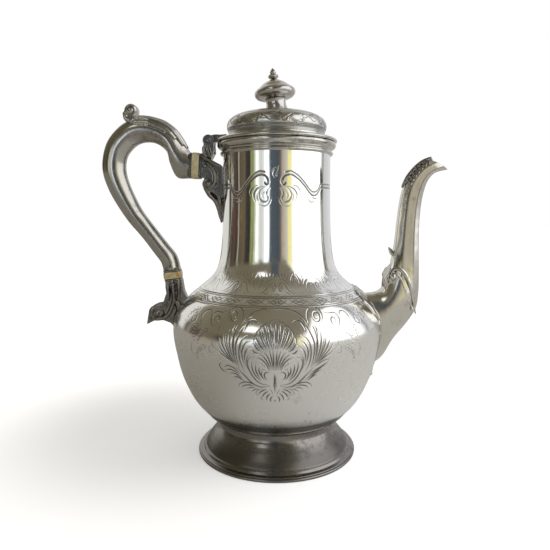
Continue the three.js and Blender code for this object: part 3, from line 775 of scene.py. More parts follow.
def body_band(name, heights, half_angles, radius, engrave, stretch, material, nodes, dents=0.02):
    """One ring of the body. half_angles cover the front half turn, and the back repeats them.

    stretch lets the strokes keep their shape where the surface is narrower or slopes more than the belly's
    widest part. Cuts deeper than DARK_DEPTH are fully dark.
    """
    run = run_at(np.asarray(heights, float))
    run = np.concatenate([[run[0] - 0.3], run, [run[-1] + 0.3]])
    r, z, out_r, out_z = profile_at(run)
    plate = Plate(half_angles * radius * stretch[0], z * stretch[1], stretch)
    engrave(plate)
    depth = np.hstack([plate.depth, plate.depth])
    angles = np.concatenate([half_angles, half_angles + np.pi])
    wave = dents * (np.sin(3 * angles + 0.7)[None, :] * np.sin(z / 21)[:, None]
                    + 0.6 * np.sin(7 * angles + 2.1)[None, :] * np.sin(z / 9.5 + 1)[:, None])
    sink = depth - wave
    rr = r[:, None] - sink * out_r[:, None]
    zz = z[:, None] - sink * out_z[:, None]
    points = np.stack([rr * np.sin(angles), -rr * np.cos(angles), zz], -1)
    up = points[2:] - points[:-2]
    over = np.roll(points, -1, axis=1) - np.roll(points, 1, axis=1)
    normals = np.cross(over[1:-1], up)
    normals /= np.linalg.norm(normals, axis=-1, keepdims=True)
    inside = points[1:-1]
    rows, columns = inside.shape[:2]
    quads = grid_faces(rows, columns, wrap_columns=True)[:, ::-1]
    obj = quad_mesh(name, inside.reshape(-1, 3), quads, normals.reshape(-1, 3))
    set_dirt_and_shade(obj, np.clip(depth[1:-1] / DARK_DEPTH, 0, 1))
    return finished(obj, "pot", "silver_sheet", material, *nodes)


def painted_dark_band(plate):
    """Paints a dark band round the bottom of the belly, from 31 to 38 mm up, and sinks it 0.17 mm: painted
    shade and painted reflection of the dark foot.
    """
    z = plate.up / plate.stretch[1]
    fade = np.clip((38.2 - z) / 1.3, 0, 1) * np.clip((z - 31.2) / 1.2, 0, 1)
    plate.depth = np.maximum(plate.depth, 0.17 * fade[:, None])


def cut_cartouche(plate):
    """The large palmette, a little left of the middle of each side."""
    plate.draw(CARTOUCHE, shift=CARTOUCHE_AXIS)


def cut_shoulder(plate):
    """Two ring lines with a lattice between them, and a border of scrolls and sprays above."""
    cut_cartouche(plate)
    for height in (118.0, 118.9, 123.2, 124.0):
        plate.ring(height, 0.42, 0.2)
    cells = 13
    pitch = HALF_TURN / cells
    for k in range(cells):
        u = -HALF_TURN / 2 + (k + 0.5) * pitch
        for side in (-1, 1):
            for path, width in (
                ([(u - side * pitch / 2, 119.4), (u, 122.8), (u + side * pitch / 2, 119.4)], 0.34),
                ([(u - side * pitch / 2, 122.8), (u, 119.4), (u + side * pitch / 2, 122.8)], 0.34),
                ([(u + side * 1.2, 121.1), (u + side * 3.4, 121.9), (u + side * 5.0, 121.1)], 0.42),
                ([(u + side * 1.2, 121.1), (u + side * 3.4, 120.3), (u + side * 5.0, 121.1)], 0.42),
            ):
                plate.stroke(np.array(path) * plate.stretch, width, 0.17, 0.2, 14)
        for dx, dz in ((1.3, 0.9), (-1.3, 0.9), (1.3, -0.9), (-1.3, -0.9)):
            path = [(u, 121.1), (u + 0.6 * dx, 121.1 + 0.3 * dz), (u + dx, 121.1 + dz)]
            plate.stroke(np.array(path) * plate.stretch, 0.5, 0.2, 0.3, 10)
    motifs = 6
    pitch = HALF_TURN / motifs
    for k in range(motifs):
        u = -HALF_TURN / 2 + (k + 0.5) * pitch
        for side in (-1, 1):
            bold = [
                [(0.8, 126.2), (4.6, 125.6), (9, 127.6), (12.6, 131.2), (16.4, 131.8), (18.2, 129),
                 (16.2, 127), (14.2, 128.4)],
                [(0.6, 128), (3.4, 129.6), (4.4, 133), (2.6, 136), (0.5, 137.4)],
                [(6.4, 128.6), (10, 132.4), (14.6, 134.2), (18.8, 133.2)],
            ]
            light = [
                [(5.6, 130.2), (8.2, 133.8), (7.2, 137.4), (4.8, 138)],
                [(1.2, 130.8), (2.2, 133), (1, 135.2)], [(8.8, 133.6), (11.2, 136.4), (10.6, 139.2)],
                [(11.6, 134.6), (14.6, 136.4), (15.2, 139)], [(15.4, 134.6), (18, 136), (19.4, 138.4)],
                spiral((16.2, 129.2), 0.8, 0.8, 0, 1, 16), [(19.4, 126.2), (18.6, 124.9), (16, 125.2)],
                [(6.8, 126), (9.6, 125.4), (12.2, 127.2)],
            ]
            plate.draw(((bold, 0.42, 0.17), (light, 0.34, 0.11)), side, u)


STRAP_AXIS = -1.2
# the lower line of the strap on one side, as (degrees round the neck, height)
STRAP = [(-62, 194.6), (-56, 194.6), (-52.4, 194.2), (-50, 192.2), (-46, 189.6), (-41, 188.9), (-36, 190.8),
         (-30, 195.2), (-23, 199.6), (-15.6, 202.2), (-10, 201.8), (-7, 199.6), (-6.4, 197), (-8.6, 195.8),
         (-10, 197.2)]


def cut_strapwork(plate):
    """A double strap that rises and falls round the neck, with leaves under its crests."""
    turn = math.pi * NECK_RADIUS / 180
    lower = np.array([(-90, 194.8), (-76, 194.8), *STRAP]) * [turn, 1]
    for side in (-1, 1):
        strap = lower * [side, 1] + [STRAP_AXIS, 0]
        plate.stroke(strap, 0.56, 0.3, 0.0, 90)
        plate.stroke(strap[:-4] + [0, 2.3], 0.5, 0.26, 0.0, 90)
        plate.stroke(strap[1:-5] + [0, 1.15], 0.3, 0.1, 0.0, 80)
        bold = [
            [(-4.6, 195.4), (-8.6, 193.4), (-10.8, 189.6), (-9.4, 185.6), (-6, 184.6), (-4.2, 187.2),
             (-6, 189.4)],
            [(-7.6, 194.6), (-12.4, 193), (-14.8, 189), (-13.2, 184.4)],
        ]
        light = [
            [(-10.4, 195.4), (-14.6, 194.6), (-17.2, 191.4), (-16.2, 187.6)],
            [(-3.2, 193.8), (-5.2, 191), (-4.6, 187)],
            [(-2.4, 187.4), (-4, 183.4), (-7.8, 181.6), (-11.2, 183)],
            [(-6.6, 191.6), (-8.4, 189), (-7.4, 186.6)], [(-11.4, 190.6), (-12.2, 187.4), (-10.8, 184.6)],
            [(-33.6, 188.6), (-29.4, 186.6), (-26, 189.2), (-26.6, 192)],
            [(-30.4, 185.4), (-25.6, 184.4), (-22.6, 187.6)],
        ]
        plate.draw(((bold, 0.46, 0.22), (light, 0.36, 0.16)), -side, STRAP_AXIS)
    for path in ([(-1.6, 199.4), (-3.4, 203), (-1.2, 206.6), (0.6, 204.8)],
                 [(-0.6, 198), (-0.4, 202), (1.4, 206), (1, 209)]):
        plate.stroke(path, 0.44, 0.2)


def front_angles(radius, *spans):
    """Angles of the front half turn, from spans of (from, to, step) along the surface at a radius."""
    half = spaced(*spans) / radius
    return np.concatenate([-half[::-1], half[1:-1]])


belly_angles = front_angles(BELLY_RADIUS, (0, 48, 0.36), (48, 75, 0.6), (75, HALF_TURN / 2, 1.2))
shoulder_angles = front_angles(BELLY_RADIUS, (0, HALF_TURN / 2, 0.6))
base_angles = front_angles(BELLY_RADIUS, (0, HALF_TURN / 2, 2.0))
neck_angles = front_angles(NECK_RADIUS, (0, math.pi * NECK_RADIUS / 2, 0.46))


def height_steps(low, high, step):
    """Heights between which the outline runs about step mm."""
    low, high = run_at(low), run_at(high)
    return np.interp(np.linspace(low, high, int((high - low) / step) + 2), OUTLINE_RUN, OUTLINE_Z)


TURN_UNDER = 31.0
# name, heights, angles, what is engraved or painted dark, stretch, CAD nodes
BELLY_BANDS = (
    ("belly_under", height_steps(TURN_UNDER, 60, 1.0), base_angles, painted_dark_band, (0.8, 1.3),
     ["body_base"]),
    ("belly_lower", height_steps(60, 90, 0.36), belly_angles, cut_cartouche, (1, 1.03), ["body_belly"]),
    ("belly_upper", height_steps(90, 116, 0.36), belly_angles, cut_cartouche, (0.97, 1.18), []),
    ("shoulder", height_steps(116, 145, 0.46), shoulder_angles, cut_shoulder, (0.76, 1.45),
     ["body_shoulder"]),
)
for name, heights, half_angles, engrave, stretch, nodes in BELLY_BANDS:
    body_band(name, heights, half_angles, BELLY_RADIUS, engrave, stretch, body_silver, nodes)
neck_heights = spaced((145, 178, 1.4), (178, 211, 0.42), (211, 224, 1.4))
body_band("neck", neck_heights, neck_angles, NECK_RADIUS, cut_strapwork, (1, 1), neck_silver, ["body_neck"],
          0)

# below TURN_UNDER the body turns in sharply over the neck of the foot, and closes with a shallow bottom
edge_radius = body_radius(TURN_UNDER)
turn_line = curve([(edge_radius, TURN_UNDER), (edge_radius - 1.1, TURN_UNDER - 1.0), (49.0, 29.3),
                   (46.0, 29.0), (42.4, 28.9)], 30)
bottom_line = [(41.8, 28.6), (41.2, 24), (39.8, 21), (30, 19.9), (0.3, 19.3)]
finished(turned("belly_bottom", [*turn_line, *bottom_line], 240, closed=False), "pot", "silver_sheet",
         body_silver)

inner_line = catmull(BODY_CURVE, 6)
inside = turned("inside_wall", [(0.5, 20.2), (30, 21.4), (40.5, 24),
                                *[(r - WALL, z) for r, z in inner_line[3:]]],
                sides=160, closed=False)
inside.data.flip_normals()
finished(inside, "pot", "silver_sheet", inner_silver)


# ---------------------------------------------------------------- turned pieces
# outlines of (radius, height), closed
FOOT = [
    (58.4, 2.5), (58.3, 3.0), (57.3, 3.35), (55.4, 3.4), (54.9, 4.2), (54.4, 5.0), (53.3, 5.6), (52.7, 7.2),
    (50.9, 10.4), (47.9, 14.2), (44.8, 17.6), (43.1, 20.2), (42.5, 23), (42.7, 25.8), (43.4, 27.8),
    (43.8, 28.85), (41.9, 28.9), (41.5, 22.4), (40.6, 19.2), (43.2, 16.8), (46.6, 13.6), (49.7, 9.8),
    (51.6, 6.4), (53.6, 3.4), (54.7, 2.5),
]
foot = finished(turned("foot", FOOT, 240, corner=0.9), "pot", "tarnished_silver", dark_silver, "foot_shell")
foot_heights = read_points(foot)[:, 2] / MM
# painted shade: the foot is darkened in a band from 4.6 to 18.5 mm up, strongest from 6.5 to 12 mm, for a
# darker reflection there
set_dirt_and_shade(foot, 0.5 * np.interp(foot_heights, [4.6, 6.5, 12.0, 18.5], [0, 1, 1, 0]))
finished(turned("foot_wire", [(59.2, 0.1), (59.2, 2.3), (54.6, 2.3), (54.6, 0.1)], 240, corner=1.0), "pot",
         "tarnished_silver", dark_silver, "foot_rim_wire")
RIM = [
    (38.75, 218.2), (39.9, 218.3), (40.7, 219.0), (40.7, 219.9), (39.9, 220.6), (39.5, 221.2), (40.0, 222.0),
    (41.2, 222.7), (42.3, 223.8), (42.8, 225.0), (42.7, 226.2), (42.1, 227.0), (36.8, 227.0), (36.8, 220),
]
finished(turned("rim", RIM, 240, corner=0.55), "pot", "polished_silver", rim_silver, "rim_moulding")
FLANGE = [(33.4, 227.15), (42.3, 227.15), (43.2, 227.5), (43.5, 228.2), (43.2, 229.0), (42.3, 229.5),
          (40.5, 229.8), (37.6, 230.1), (36.0, 230.5), (35.5, 231.2), (35.4, 232.1), (34.9, 232.5),
          (33.4, 232.4)]
finished(turned("lid_moulding", FLANGE, 240, corner=0.5), "lid", "polished_silver", rim_silver, "lid_flange")
finished(turned("lid_collar", [(36.2, 221.7), (36.2, 227.1), (35, 227.1), (35, 221.6)], 200, corner=0.2),
         "lid", "silver_sheet", inner_silver, "lid_bezel")


# ---------------------------------------------------------------- the lid and its finial
# the outside of the dome from its moulding to its top, as (radius, height)
LID = [(34.8, 232.3), (34.7, 233.2), (34.5, 234.2), (34.9, 235.1), (35.5, 236.4), (35.75, 238.4),
       (35.4, 240.6), (34.0, 243.0), (31.0, 245.2), (26.5, 247.0), (20.5, 248.2), (12, 248.8), (2.6, 248.9)]
LID_RADIUS = 35.0
LID_SIDES = 500
LID_MOTIFS = 14


def lid_cover():
    """The dome, with a band of scrolling leaves engraved round its side."""
    line = even(catmull(LID, 16), 150)
    angles = on_disc(LID_SIDES)
    plate = Plate(angles * LID_RADIUS, run_along(line))
    pitch = 2 * math.pi * LID_RADIUS / LID_MOTIFS
    band_middle = 8.6
    for k in range(-1, LID_MOTIFS + 1):
        flip = 1 if k % 2 else -1
        base = np.array([((k + 0.5) * pitch, band_middle)])
        shapes = [[(-pitch / 2, 0), (-pitch / 4, 2.4 * flip), (0, 0), (pitch / 4, -2.4 * flip),
                   (pitch / 2, 0)]]
        shapes += [spiral((-3.6, 1.2 * flip), 2.6, 0.7, 90, 1.3 * flip, 20)]
        shapes += feather([(-1, 0.4 * flip), (2.4, 2.4 * flip), (5.6, 3.6 * flip), (8.2, 2.0 * flip)], 2.4,
                          2.2, 6)
        shapes += feather([(-4.6, -0.6 * flip), (-6.6, -2.8 * flip), (-5.4, -4.4 * flip)], 1.8, 1.6, 4)
        for path in shapes:
            plate.stroke(np.asarray(path, float) + base, 0.46, 0.24)
    for height in (3.2, 3.9, 14.4):
        plate.ring(height, 0.4, 0.2)
    way = directions(line)
    r = line[:, :1] - plate.depth * way[:, 1:]
    z = line[:, 1:] + plate.depth * way[:, :1]
    points = np.stack([r * np.sin(angles), -r * np.cos(angles), z], -1)
    inner = line[::-6] - np.column_stack([way[::-6, 1], -way[::-6, 0]]) * WALL
    lining = np.moveaxis(around(inner, angles), 0, 1)
    points = np.concatenate([points, lining])
    faces = grid_faces(len(points), LID_SIDES, wrap_rows=True, wrap_columns=True)
    obj = facing_out(quad_mesh("lid_dome", points.reshape(-1, 3), faces))
    obj.data.set_sharp_from_angle(angle=math.radians(50))
    # painted shade: the foot of the dome is darkened, fading out by 235.8 mm; the engraved lines hold dirt
    hollow = np.interp(line[:, 1], [234.4, 235.8], [0.4, 0])[:, None]
    darkening = np.maximum(np.clip(plate.depth / 0.24, 0, 1), hollow)
    set_dirt_and_shade(obj, np.vstack([darkening, np.zeros(lining.shape[:2])]))
    return obj


lid_silver = silver_material("lid_metal", (0.62, 0.61, 0.585), (0.36, 0.34, 0.315), 0.2, 0.3, 0.4, waves=0.2,
                             specks=0.1)
finished(lid_cover(), "lid", "silver_sheet", lid_silver, "lid_cover")


def tipped(degrees, x, z):
    """A place at x, z whose own X axis is tipped down by some degrees, about Y."""
    a = math.radians(degrees)
    return np.array([[math.cos(a), 0, math.sin(a), x], [0, 1, 0, 0], [-math.sin(a), 0, math.cos(a), z],
                     [0, 0, 0, 1]])


# the finial leans a little towards the handle, and its heights are measured from the top of the CAD dome
FINIAL_LEAN = -6
CAD_DOME_TOP = 251.0
FINIAL_PLACE = tipped(FINIAL_LEAN, 0, CAD_DOME_TOP)


def finial_piece(name, outline, node, material=finial_silver, slot="tarnished_silver", corner=0.45,
                 sides=120):
    """One turned piece of the finial, or of what holds it."""
    finished(turned(name, outline, sides, corner=corner, lift=FINIAL_PLACE), "lid", slot, material, node)


finial_piece("finial_collar", [(2.1, -2.8), (10.3, -2.8), (10.3, -2.4), (9.2, -1.6), (8.3, -0.4), (7.6, 1.2),
                               (7.1, 3.0), (7.0, 4.8), (7.3, 6.4), (7.7, 7.2), (2.1, 7.2)], "finial_stem")
finial_piece("finial_bulb", [(2.1, 7.4), (8.2, 7.4), (10.8, 7.6), (12.9, 8.4), (14.3, 9.9), (14.75, 11.6),
                             (14.4, 13.0), (13.2, 14.3), (11.6, 15.3), (10.2, 16.4), (8.7, 17.7), (6.5, 19.1),
                             (4.0, 20.3), (1.9, 20.9), (0.4, 21.0), (0.4, 17), (2.1, 17)], "finial_knob")
finial_piece("finial_point", [(0.05, 21.1), (1.5, 21.3), (2.4, 21.6), (3.5, 22.4), (3.8, 23.2), (3.4, 24.1),
                              (2.1, 24.7), (1.8, 25.0), (2.2, 25.5), (2.1, 26.4), (1.5, 27.4), (0.7, 28.5),
                              (0.05, 29.1)],
             "finial_tip", corner=0.25, sides=64)
finial_piece("finial_bolt", [(0.05, -8.2), (1.5, -8.2), (1.8, -7.8), (1.8, 7.3), (0.05, 7.3)], "finial_rod",
             brass, "brass", 0.2, 40)
finial_piece("finial_disc", [(2.1, -5.2), (5.4, -5.2), (5.4, -4.4), (2.1, -4.4)], "finial_washer", brass,
             "brass", 0.2, 64)


def finial_nut(across=7.0, bottom=-7.4, top=-5.4, bore=2.0, sides=24):
    """A six-sided nut with its corners eased."""
    angle = on_disc(sides)
    hexagon = math.cos(math.pi / 6) / np.cos((angle + np.pi / 6) % (np.pi / 3) - np.pi / 6)
    half = across / 2
    rings = []
    for radius, z in ((bore, bottom), (0.93 * half, bottom), (half, bottom + 0.3), (half, top - 0.3),
                      (0.93 * half, top), (bore, top)):
        reach = radius * hexagon if radius > bore else np.full(sides, radius)
        rings.append(np.column_stack([reach * np.cos(angle), reach * np.sin(angle), np.full(sides, z)]))
    faces = grid_faces(len(rings), sides, wrap_rows=True, wrap_columns=True)
    return facing_out(make_object("finial_fastener", placed(np.vstack(rings), FINIAL_PLACE), faces))


finished(finial_nut(), "lid", "brass", brass, "finial_nut")


# ---------------------------------------------------------------- swept pieces
def sweep_rings(rows, count, sides, square, panels, grow=0.0, crisp=0.9, hollow=0.0):
    """Rings of points along rows, with flat panels round them.

    A row holds the x and z of the bend's outer edge, the x and z of its inner edge, and half the depth in y.
    grow makes the rings larger all round, crisp says how flat the panels are, and hollow how far they sink in
    the middle.
    """
    rows = np.asarray(rows, float)
    outer = centripetal(rows[:, 0:2], count)
    inner = centripetal(rows[:, 2:4], count)
    deep = np.interp(np.linspace(0, len(rows) - 1, count), np.arange(len(rows)), rows[:, 4]) + grow
    middle = (outer + inner) / 2
    across = outer - inner
    half = np.linalg.norm(across, axis=1) / 2
    across /= 2 * half[:, None]
    half = half + grow
    angle = on_disc(sides)
    wedge = 2 * np.pi / panels
    panel = (angle + wedge / 2) % wedge - wedge / 2
    crisp = np.broadcast_to(crisp, (count,))[:, None]
    shape = (math.cos(wedge / 2) / np.cos(panel)) ** crisp / math.cos(wedge / 2) ** (0.5 * crisp)
    shape -= hollow * np.cos(panel * np.pi / wedge) ** 2
    c = squarish(np.cos(angle), square) * shape
    s = squarish(np.sin(angle), square) * shape
    rings = middle[:, None, :] + across[:, None, :] * (half[:, None] * c)[..., None]
    return np.stack([rings[..., 0], deep[:, None] * s, rings[..., 1]], -1)


def capped(name, rings, crease):
    """A closed skin over rings, with its ends rounded off."""
    inwards = (0.96, 0.5, 0.12)
    first, last = rings[0], rings[-1]
    rows = [first + (first.mean(0) - first) * k for k in inwards]
    rows += list(rings)
    rows += [last + (last.mean(0) - last) * k for k in inwards[::-1]]
    return facing_out(make_object(name, np.vstack(rows), capped_faces(len(rows), rings.shape[1]), crease))


HANDLE = [
    (-61.8, 220.6, -61.8, 202.4, 6.2), (-66, 226.8, -72, 203, 6.6), (-72.6, 235.4, -77.2, 212.6, 6.8),
    (-80.5, 240.6, -79.6, 221.6, 6.6), (-89.6, 243.8, -86.4, 227, 6.5), (-99.6, 244.9, -93.8, 228, 6.5),
    (-108.4, 242.6, -99.6, 226.4, 6.5), (-116, 236.9, -104.2, 222.7, 6.4), (-122.2, 229, -107.5, 218.3, 6.3),
    (-125.7, 219, -109, 212.6, 6.2), (-126.5, 208, -108.8, 206, 6.2), (-122.4, 194.2, -107, 199, 6.1),
    (-116.2, 182.6, -103.3, 189.8, 6), (-108.5, 171, -97.8, 179, 5.9), (-98.7, 159.2, -88.9, 166.8, 5.8),
    (-90, 147.4, -79.8, 154.9, 5.8), (-85.6, 141.2, -73.6, 146.6, 5.9), (-83.7, 134.5, -70.6, 136, 6),
]
handle = capped("handle_bar", sweep_rings(HANDLE, 150, 64, 1.12, 8, crisp=0.2), 40)
finished(handle, "pot", "silver_sheet", handle_silver, "handle")

SPOUT = [
    (52, 117, 62, 60, 14), (66, 118.5, 77.5, 69, 13.6), (76, 120.6, 87, 84, 12.8),
    (80.4, 127.2, 97.2, 96.6, 11.8), (82.3, 134, 103.7, 107.4, 10.8), (84, 139.5, 105.2, 119, 9.8),
    (85.3, 146, 105, 134, 9), (86.5, 152, 104.5, 148, 8.4), (87.4, 160, 104.2, 160, 7.9),
    (88.5, 172, 104.3, 172.6, 7.5), (89.8, 184, 105.2, 183.6, 7.2), (91.9, 194.4, 107, 193.8, 7),
    (95.4, 201.6, 110, 201.6, 7), (100.4, 208.2, 114, 205.9, 7), (105.6, 212.8, 118.6, 207.6, 6.9),
    (110.8, 215.6, 123.6, 208.6, 5.8),
]
SPOUT_ROWS, SPOUT_SIDES, SPOUT_PANELS = 170, 96, 8
SPOUT_SUNK = 6


def spout():
    """A tube with an open mouth: outer skin, lip and lining in one mesh.

    Its first SPOUT_SUNK rows lie inside the belly and are left out. The root is round, and the shaft above
    the knee has flat panels with dark lines between them.
    """
    row = np.arange(SPOUT_ROWS)
    facets = np.interp(row, [45, 72], [0.12, 0.8])
    outer = sweep_rings(SPOUT, SPOUT_ROWS, SPOUT_SIDES, 0.9, SPOUT_PANELS, crisp=facets,
                        hollow=0.008 * facets[:, None])
    lining = sweep_rings(SPOUT, SPOUT_ROWS, SPOUT_SIDES, 0.85, SPOUT_PANELS, grow=-1.25, crisp=0.5)[::-1]
    lip = (outer[-1] + lining[0]) / 2 + [0.25, 0, 0.2]
    rows = np.concatenate([outer[SPOUT_SUNK:], lip[None], lining[:-SPOUT_SUNK]])
    faces = grid_faces(len(rows), SPOUT_SIDES, wrap_columns=True)
    obj = facing_out(make_object("spout_body", rows.reshape(-1, 3), faces, 20))
    wedge = 2 * np.pi / SPOUT_PANELS
    corner = np.clip(1 - np.abs(on_disc(SPOUT_SIDES) % wedge - wedge / 2) / 0.1, 0, 1)
    darkening = np.zeros((len(rows), SPOUT_SIDES))
    darkening[:SPOUT_ROWS - SPOUT_SUNK] = 0.85 * ramp(50, 80, row[SPOUT_SUNK:])[:, None] * corner
    set_dirt_and_shade(obj, darkening)
    return obj


finished(spout(), "pot", "polished_silver", spout_silver, "spout_root", "spout_shaft", "spout_beak")


# ---------------------------------------------------------------- leaves fixed to the spout and the body
# the edge of the leaf from its top down, as (height, half width)
BASE_LEAF = [
    (124.6, 3.0), (123.4, 9.5), (122.8, 17), (120.4, 23.2), (114, 26.2), (107, 25.4), (100.6, 22.2),
    (92, 20.2), (83, 17.2), (72.6, 11.6), (64.6, 6.8), (60.6, 5.4), (58.0, 4.6), (56.2, 3.2), (55.2, 1.4),
]


def base_leaf():
    """The flange of the spout: a lobed leaf that lies on the belly.

    Over the height of the leaf, and from -1 to 1 across it, rise is how far its skin stands off the belly: a
    low cushion, slanting ribs, a middle vein, a raised edge, and a thicker tail. Both ends run into the skin
    of the belly.
    """
    edge = np.array(BASE_LEAF)[::-1]
    heights = np.linspace(55.2, 124.4, 236)
    lobes = 1 + 0.035 * np.sin(heights * 0.72) * ramp(64, 74, heights)
    half = np.interp(heights, edge[:, 0], edge[:, 1]) * lobes
    t = np.linspace(-1, 1, 141)
    y = half[:, None] * t[None, :]
    r, z, out_r, out_z = profile_at(run_at(heights))
    rise = 1.3 * (1 - np.abs(t[None, :]) ** 6) * np.ones_like(y) - 0.25
    reach = np.abs(y)
    ribs = np.cos((reach * 0.85 - (heights[:, None] - 90) * 0.42) * 1.15)
    rise += 0.28 * ribs * (1 - t[None, :] ** 4) * ramp(0.1, 0.3, np.abs(t[None, :]))
    rise += 0.6 * np.clip(1 - (reach / 2.4) ** 2, 0, 1)
    rise += 0.8 * np.clip(1 - (np.abs(np.abs(t[None, :]) - 0.92) / 0.07) ** 2, 0, 1)
    rise += 1.3 * ramp(66, 60, heights)[:, None] * (1 - t[None, :] ** 4)
    ends = ramp(55.2, 57.0, heights) * ramp(124.4, 122.8, heights)
    rise = rise * ends[:, None] - 0.3 * (1 - ends[:, None])
    rr = r[:, None] + rise * out_r[:, None]
    angle = np.arcsin(np.clip(y / r[:, None], -0.9, 0.9))
    points = np.stack([rr * np.cos(angle), rr * np.sin(angle), z[:, None] + rise * out_z[:, None]], -1)
    obj = facing_out(quad_mesh("spout_flange", points.reshape(-1, 3), grid_faces(*points.shape[:2])))
    if obj.data.polygons[len(obj.data.polygons) // 2].normal.x < 0:
        obj.data.flip_normals()
    side = np.abs(t[None, :]) * np.ones_like(y)
    darkening = np.exp(-((side - 0.83) / 0.035) ** 2) + np.exp(-((side - 1.0) / 0.03) ** 2)
    darkening += 0.6 * np.clip(-ribs, 0, 1) * ramp(0.1, 0.3, side) * ramp(0.8, 0.7, side)
    set_dirt_and_shade(obj, np.clip(darkening, 0, 1))
    return obj


finished(base_leaf(), "pot", "cast_silver", leaf_silver, "spout_base_leaf")
leaf_bead = cast("leaf_bead", [ball((body_radius(57.0) + 1.9, 0.0, 57.0), 2.3)], 0.3)
finished(leaf_bead, "pot", "cast_silver", leaf_silver)


def both_sides(points, radii, y, sides=10):
    """The same bar on each side of the plane of the handle and the spout; y may vary along it."""
    p = np.asarray(points, float)
    depth = np.asarray(y, float) * np.ones(len(p))
    return [tube(np.column_stack([p[:, 0], side * depth, p[:, 1]]), radii, sides) for side in (-1, 1)]


def taper(count, start, middle, end):
    """Radii of a bar from its start, over its thickest part, to its end."""
    return np.interp(np.linspace(0, 1, count), [0, 0.45, 1], [start, middle, end])


def ribs(points, count, sizes, y):
    """A tapering bar on each side. y is a number, or a pair of lists: places along the bar, and y there."""
    depth = np.interp(np.arange(count), *y) if isinstance(y, tuple) else y
    return both_sides(curve(points, count), taper(count, *sizes), depth)


def knee_scroll():
    """Acanthus on the knee of the spout: a volute, a long blade down each side, and a flame up the inside."""
    parts = []
    parts += ribs([(82.6, 135.2), (86.0, 137.0), (90.4, 136.2), (94.2, 131.6), (96.8, 124.4), (98.8, 115),
                   (101.6, 104.6)], 34, (1.3, 2.0, 0.6), ([0, 10, 33], [8.0, 9.4, 9.0]))
    parts += ribs([(87.2, 134.2), (90.4, 129.4), (93.0, 122.8), (95.6, 115.6), (99.6, 106.6)], 26,
                  (0.8, 0.9, 0.5), ([0, 10, 25], [9.8, 10.2, 9.6]))
    volute = spiral((84.8, 131.0), 4.2, 0.9, 100, 1.4, 36)
    parts += both_sides(volute, taper(36, 1.4, 1.2, 1.0), np.linspace(7.6, 9.6, 36))
    cheek = [(80.8, 129), (82.4, 134.6), (87.4, 134.8), (88.6, 130), (86, 126.8), (82.4, 126.2)]
    for side in (-1, 1):
        parts += [ball((84.8, side * 9.2, 131.0), 1.6), slab(cheek, 1.4, side * 7.6)]
    back = curve([(79.2, 124.4), (80.2, 129.6), (83.0, 135.2), (86.6, 140.2), (87.4, 144.6), (85.8, 148.6),
                  (83.0, 151.8)], 30)
    for y, size in ((0, 2.6), (2.4, 2.4), (4.6, 2.0), (6.4, 1.5)):
        depth = np.interp(np.arange(30), [0, 12, 22, 29], [y, y, 0.7 * y, 0.25 * y])
        parts += both_sides(back + [0.2 * y, -0.5 * y], taper(30, 1.2, size, 0.9), depth)
    obj = cast("knee_acanthus", parts, 0.4)
    return chased(obj, [[(81.4, 128.6), (82.6, 134.4), (86.4, 140.6), (86.2, 147.6)],
                        [(88.6, 134.6), (93.4, 129.6), (96.2, 121.4), (99.6, 110)]], 0.4, 0.7)


finished(knee_scroll(), "pot", "cast_silver", leaf_silver, "spout_knee_scroll")


def tip_leaf():
    """Overlapping scales of a leaf laid along the back of the beak, with a curled tip."""
    parts = []
    line = centripetal(np.array(SPOUT)[:, 0:2], 400)
    run = even(line, 400)
    start = np.argmin(np.hypot(run[:, 0] - 88.9, run[:, 1] - 196.4)
                      + np.hypot(run[:, 0] - 92.4, run[:, 1] - 196.2))
    spine = run[start:]
    along = directions(spine)
    out = np.column_stack([-along[:, 1], along[:, 0]])
    count = len(spine)
    ridge = spine + out * 0.9
    pick = np.linspace(0, count - 1, 30).astype(int)
    tip = [ridge[-1] + [1.2, 0.6], ridge[-1] + [1.6, -0.6]]
    middle = np.vstack([ridge[pick], tip])
    parts.append(tube(in_plane(middle), np.interp(np.arange(len(middle)), [0, 8, 26, 31],
                                                  [0.9, 1.7, 1.8, 1.2]), 12))
    for k in range(7):
        at = int(count * (0.06 + 0.125 * k))
        base = ridge[at]
        way = along[min(at + 8, count - 1)]
        for side in (-1, 1):
            width = 5.6 - 0.25 * k
            steps = ((0, 0, 0.4), (3.0, 0.7, 0.6 * width), (2.0, 3.0, width + 0.9), (-1.2, 4.6, width + 1.0))
            points = []
            for ahead, inwards, y in steps:
                x, z = base + ahead * way - inwards * out[at]
                points.append([x, side * y, z])
            parts.append(tube(curve(points, 14), taper(14, 0.7, 1.25, 0.6), 10))
    return cast("beak_leaf", parts, 0.34, 2)


finished(tip_leaf(), "pot", "cast_silver", cast_silver, "spout_tip_leaf")


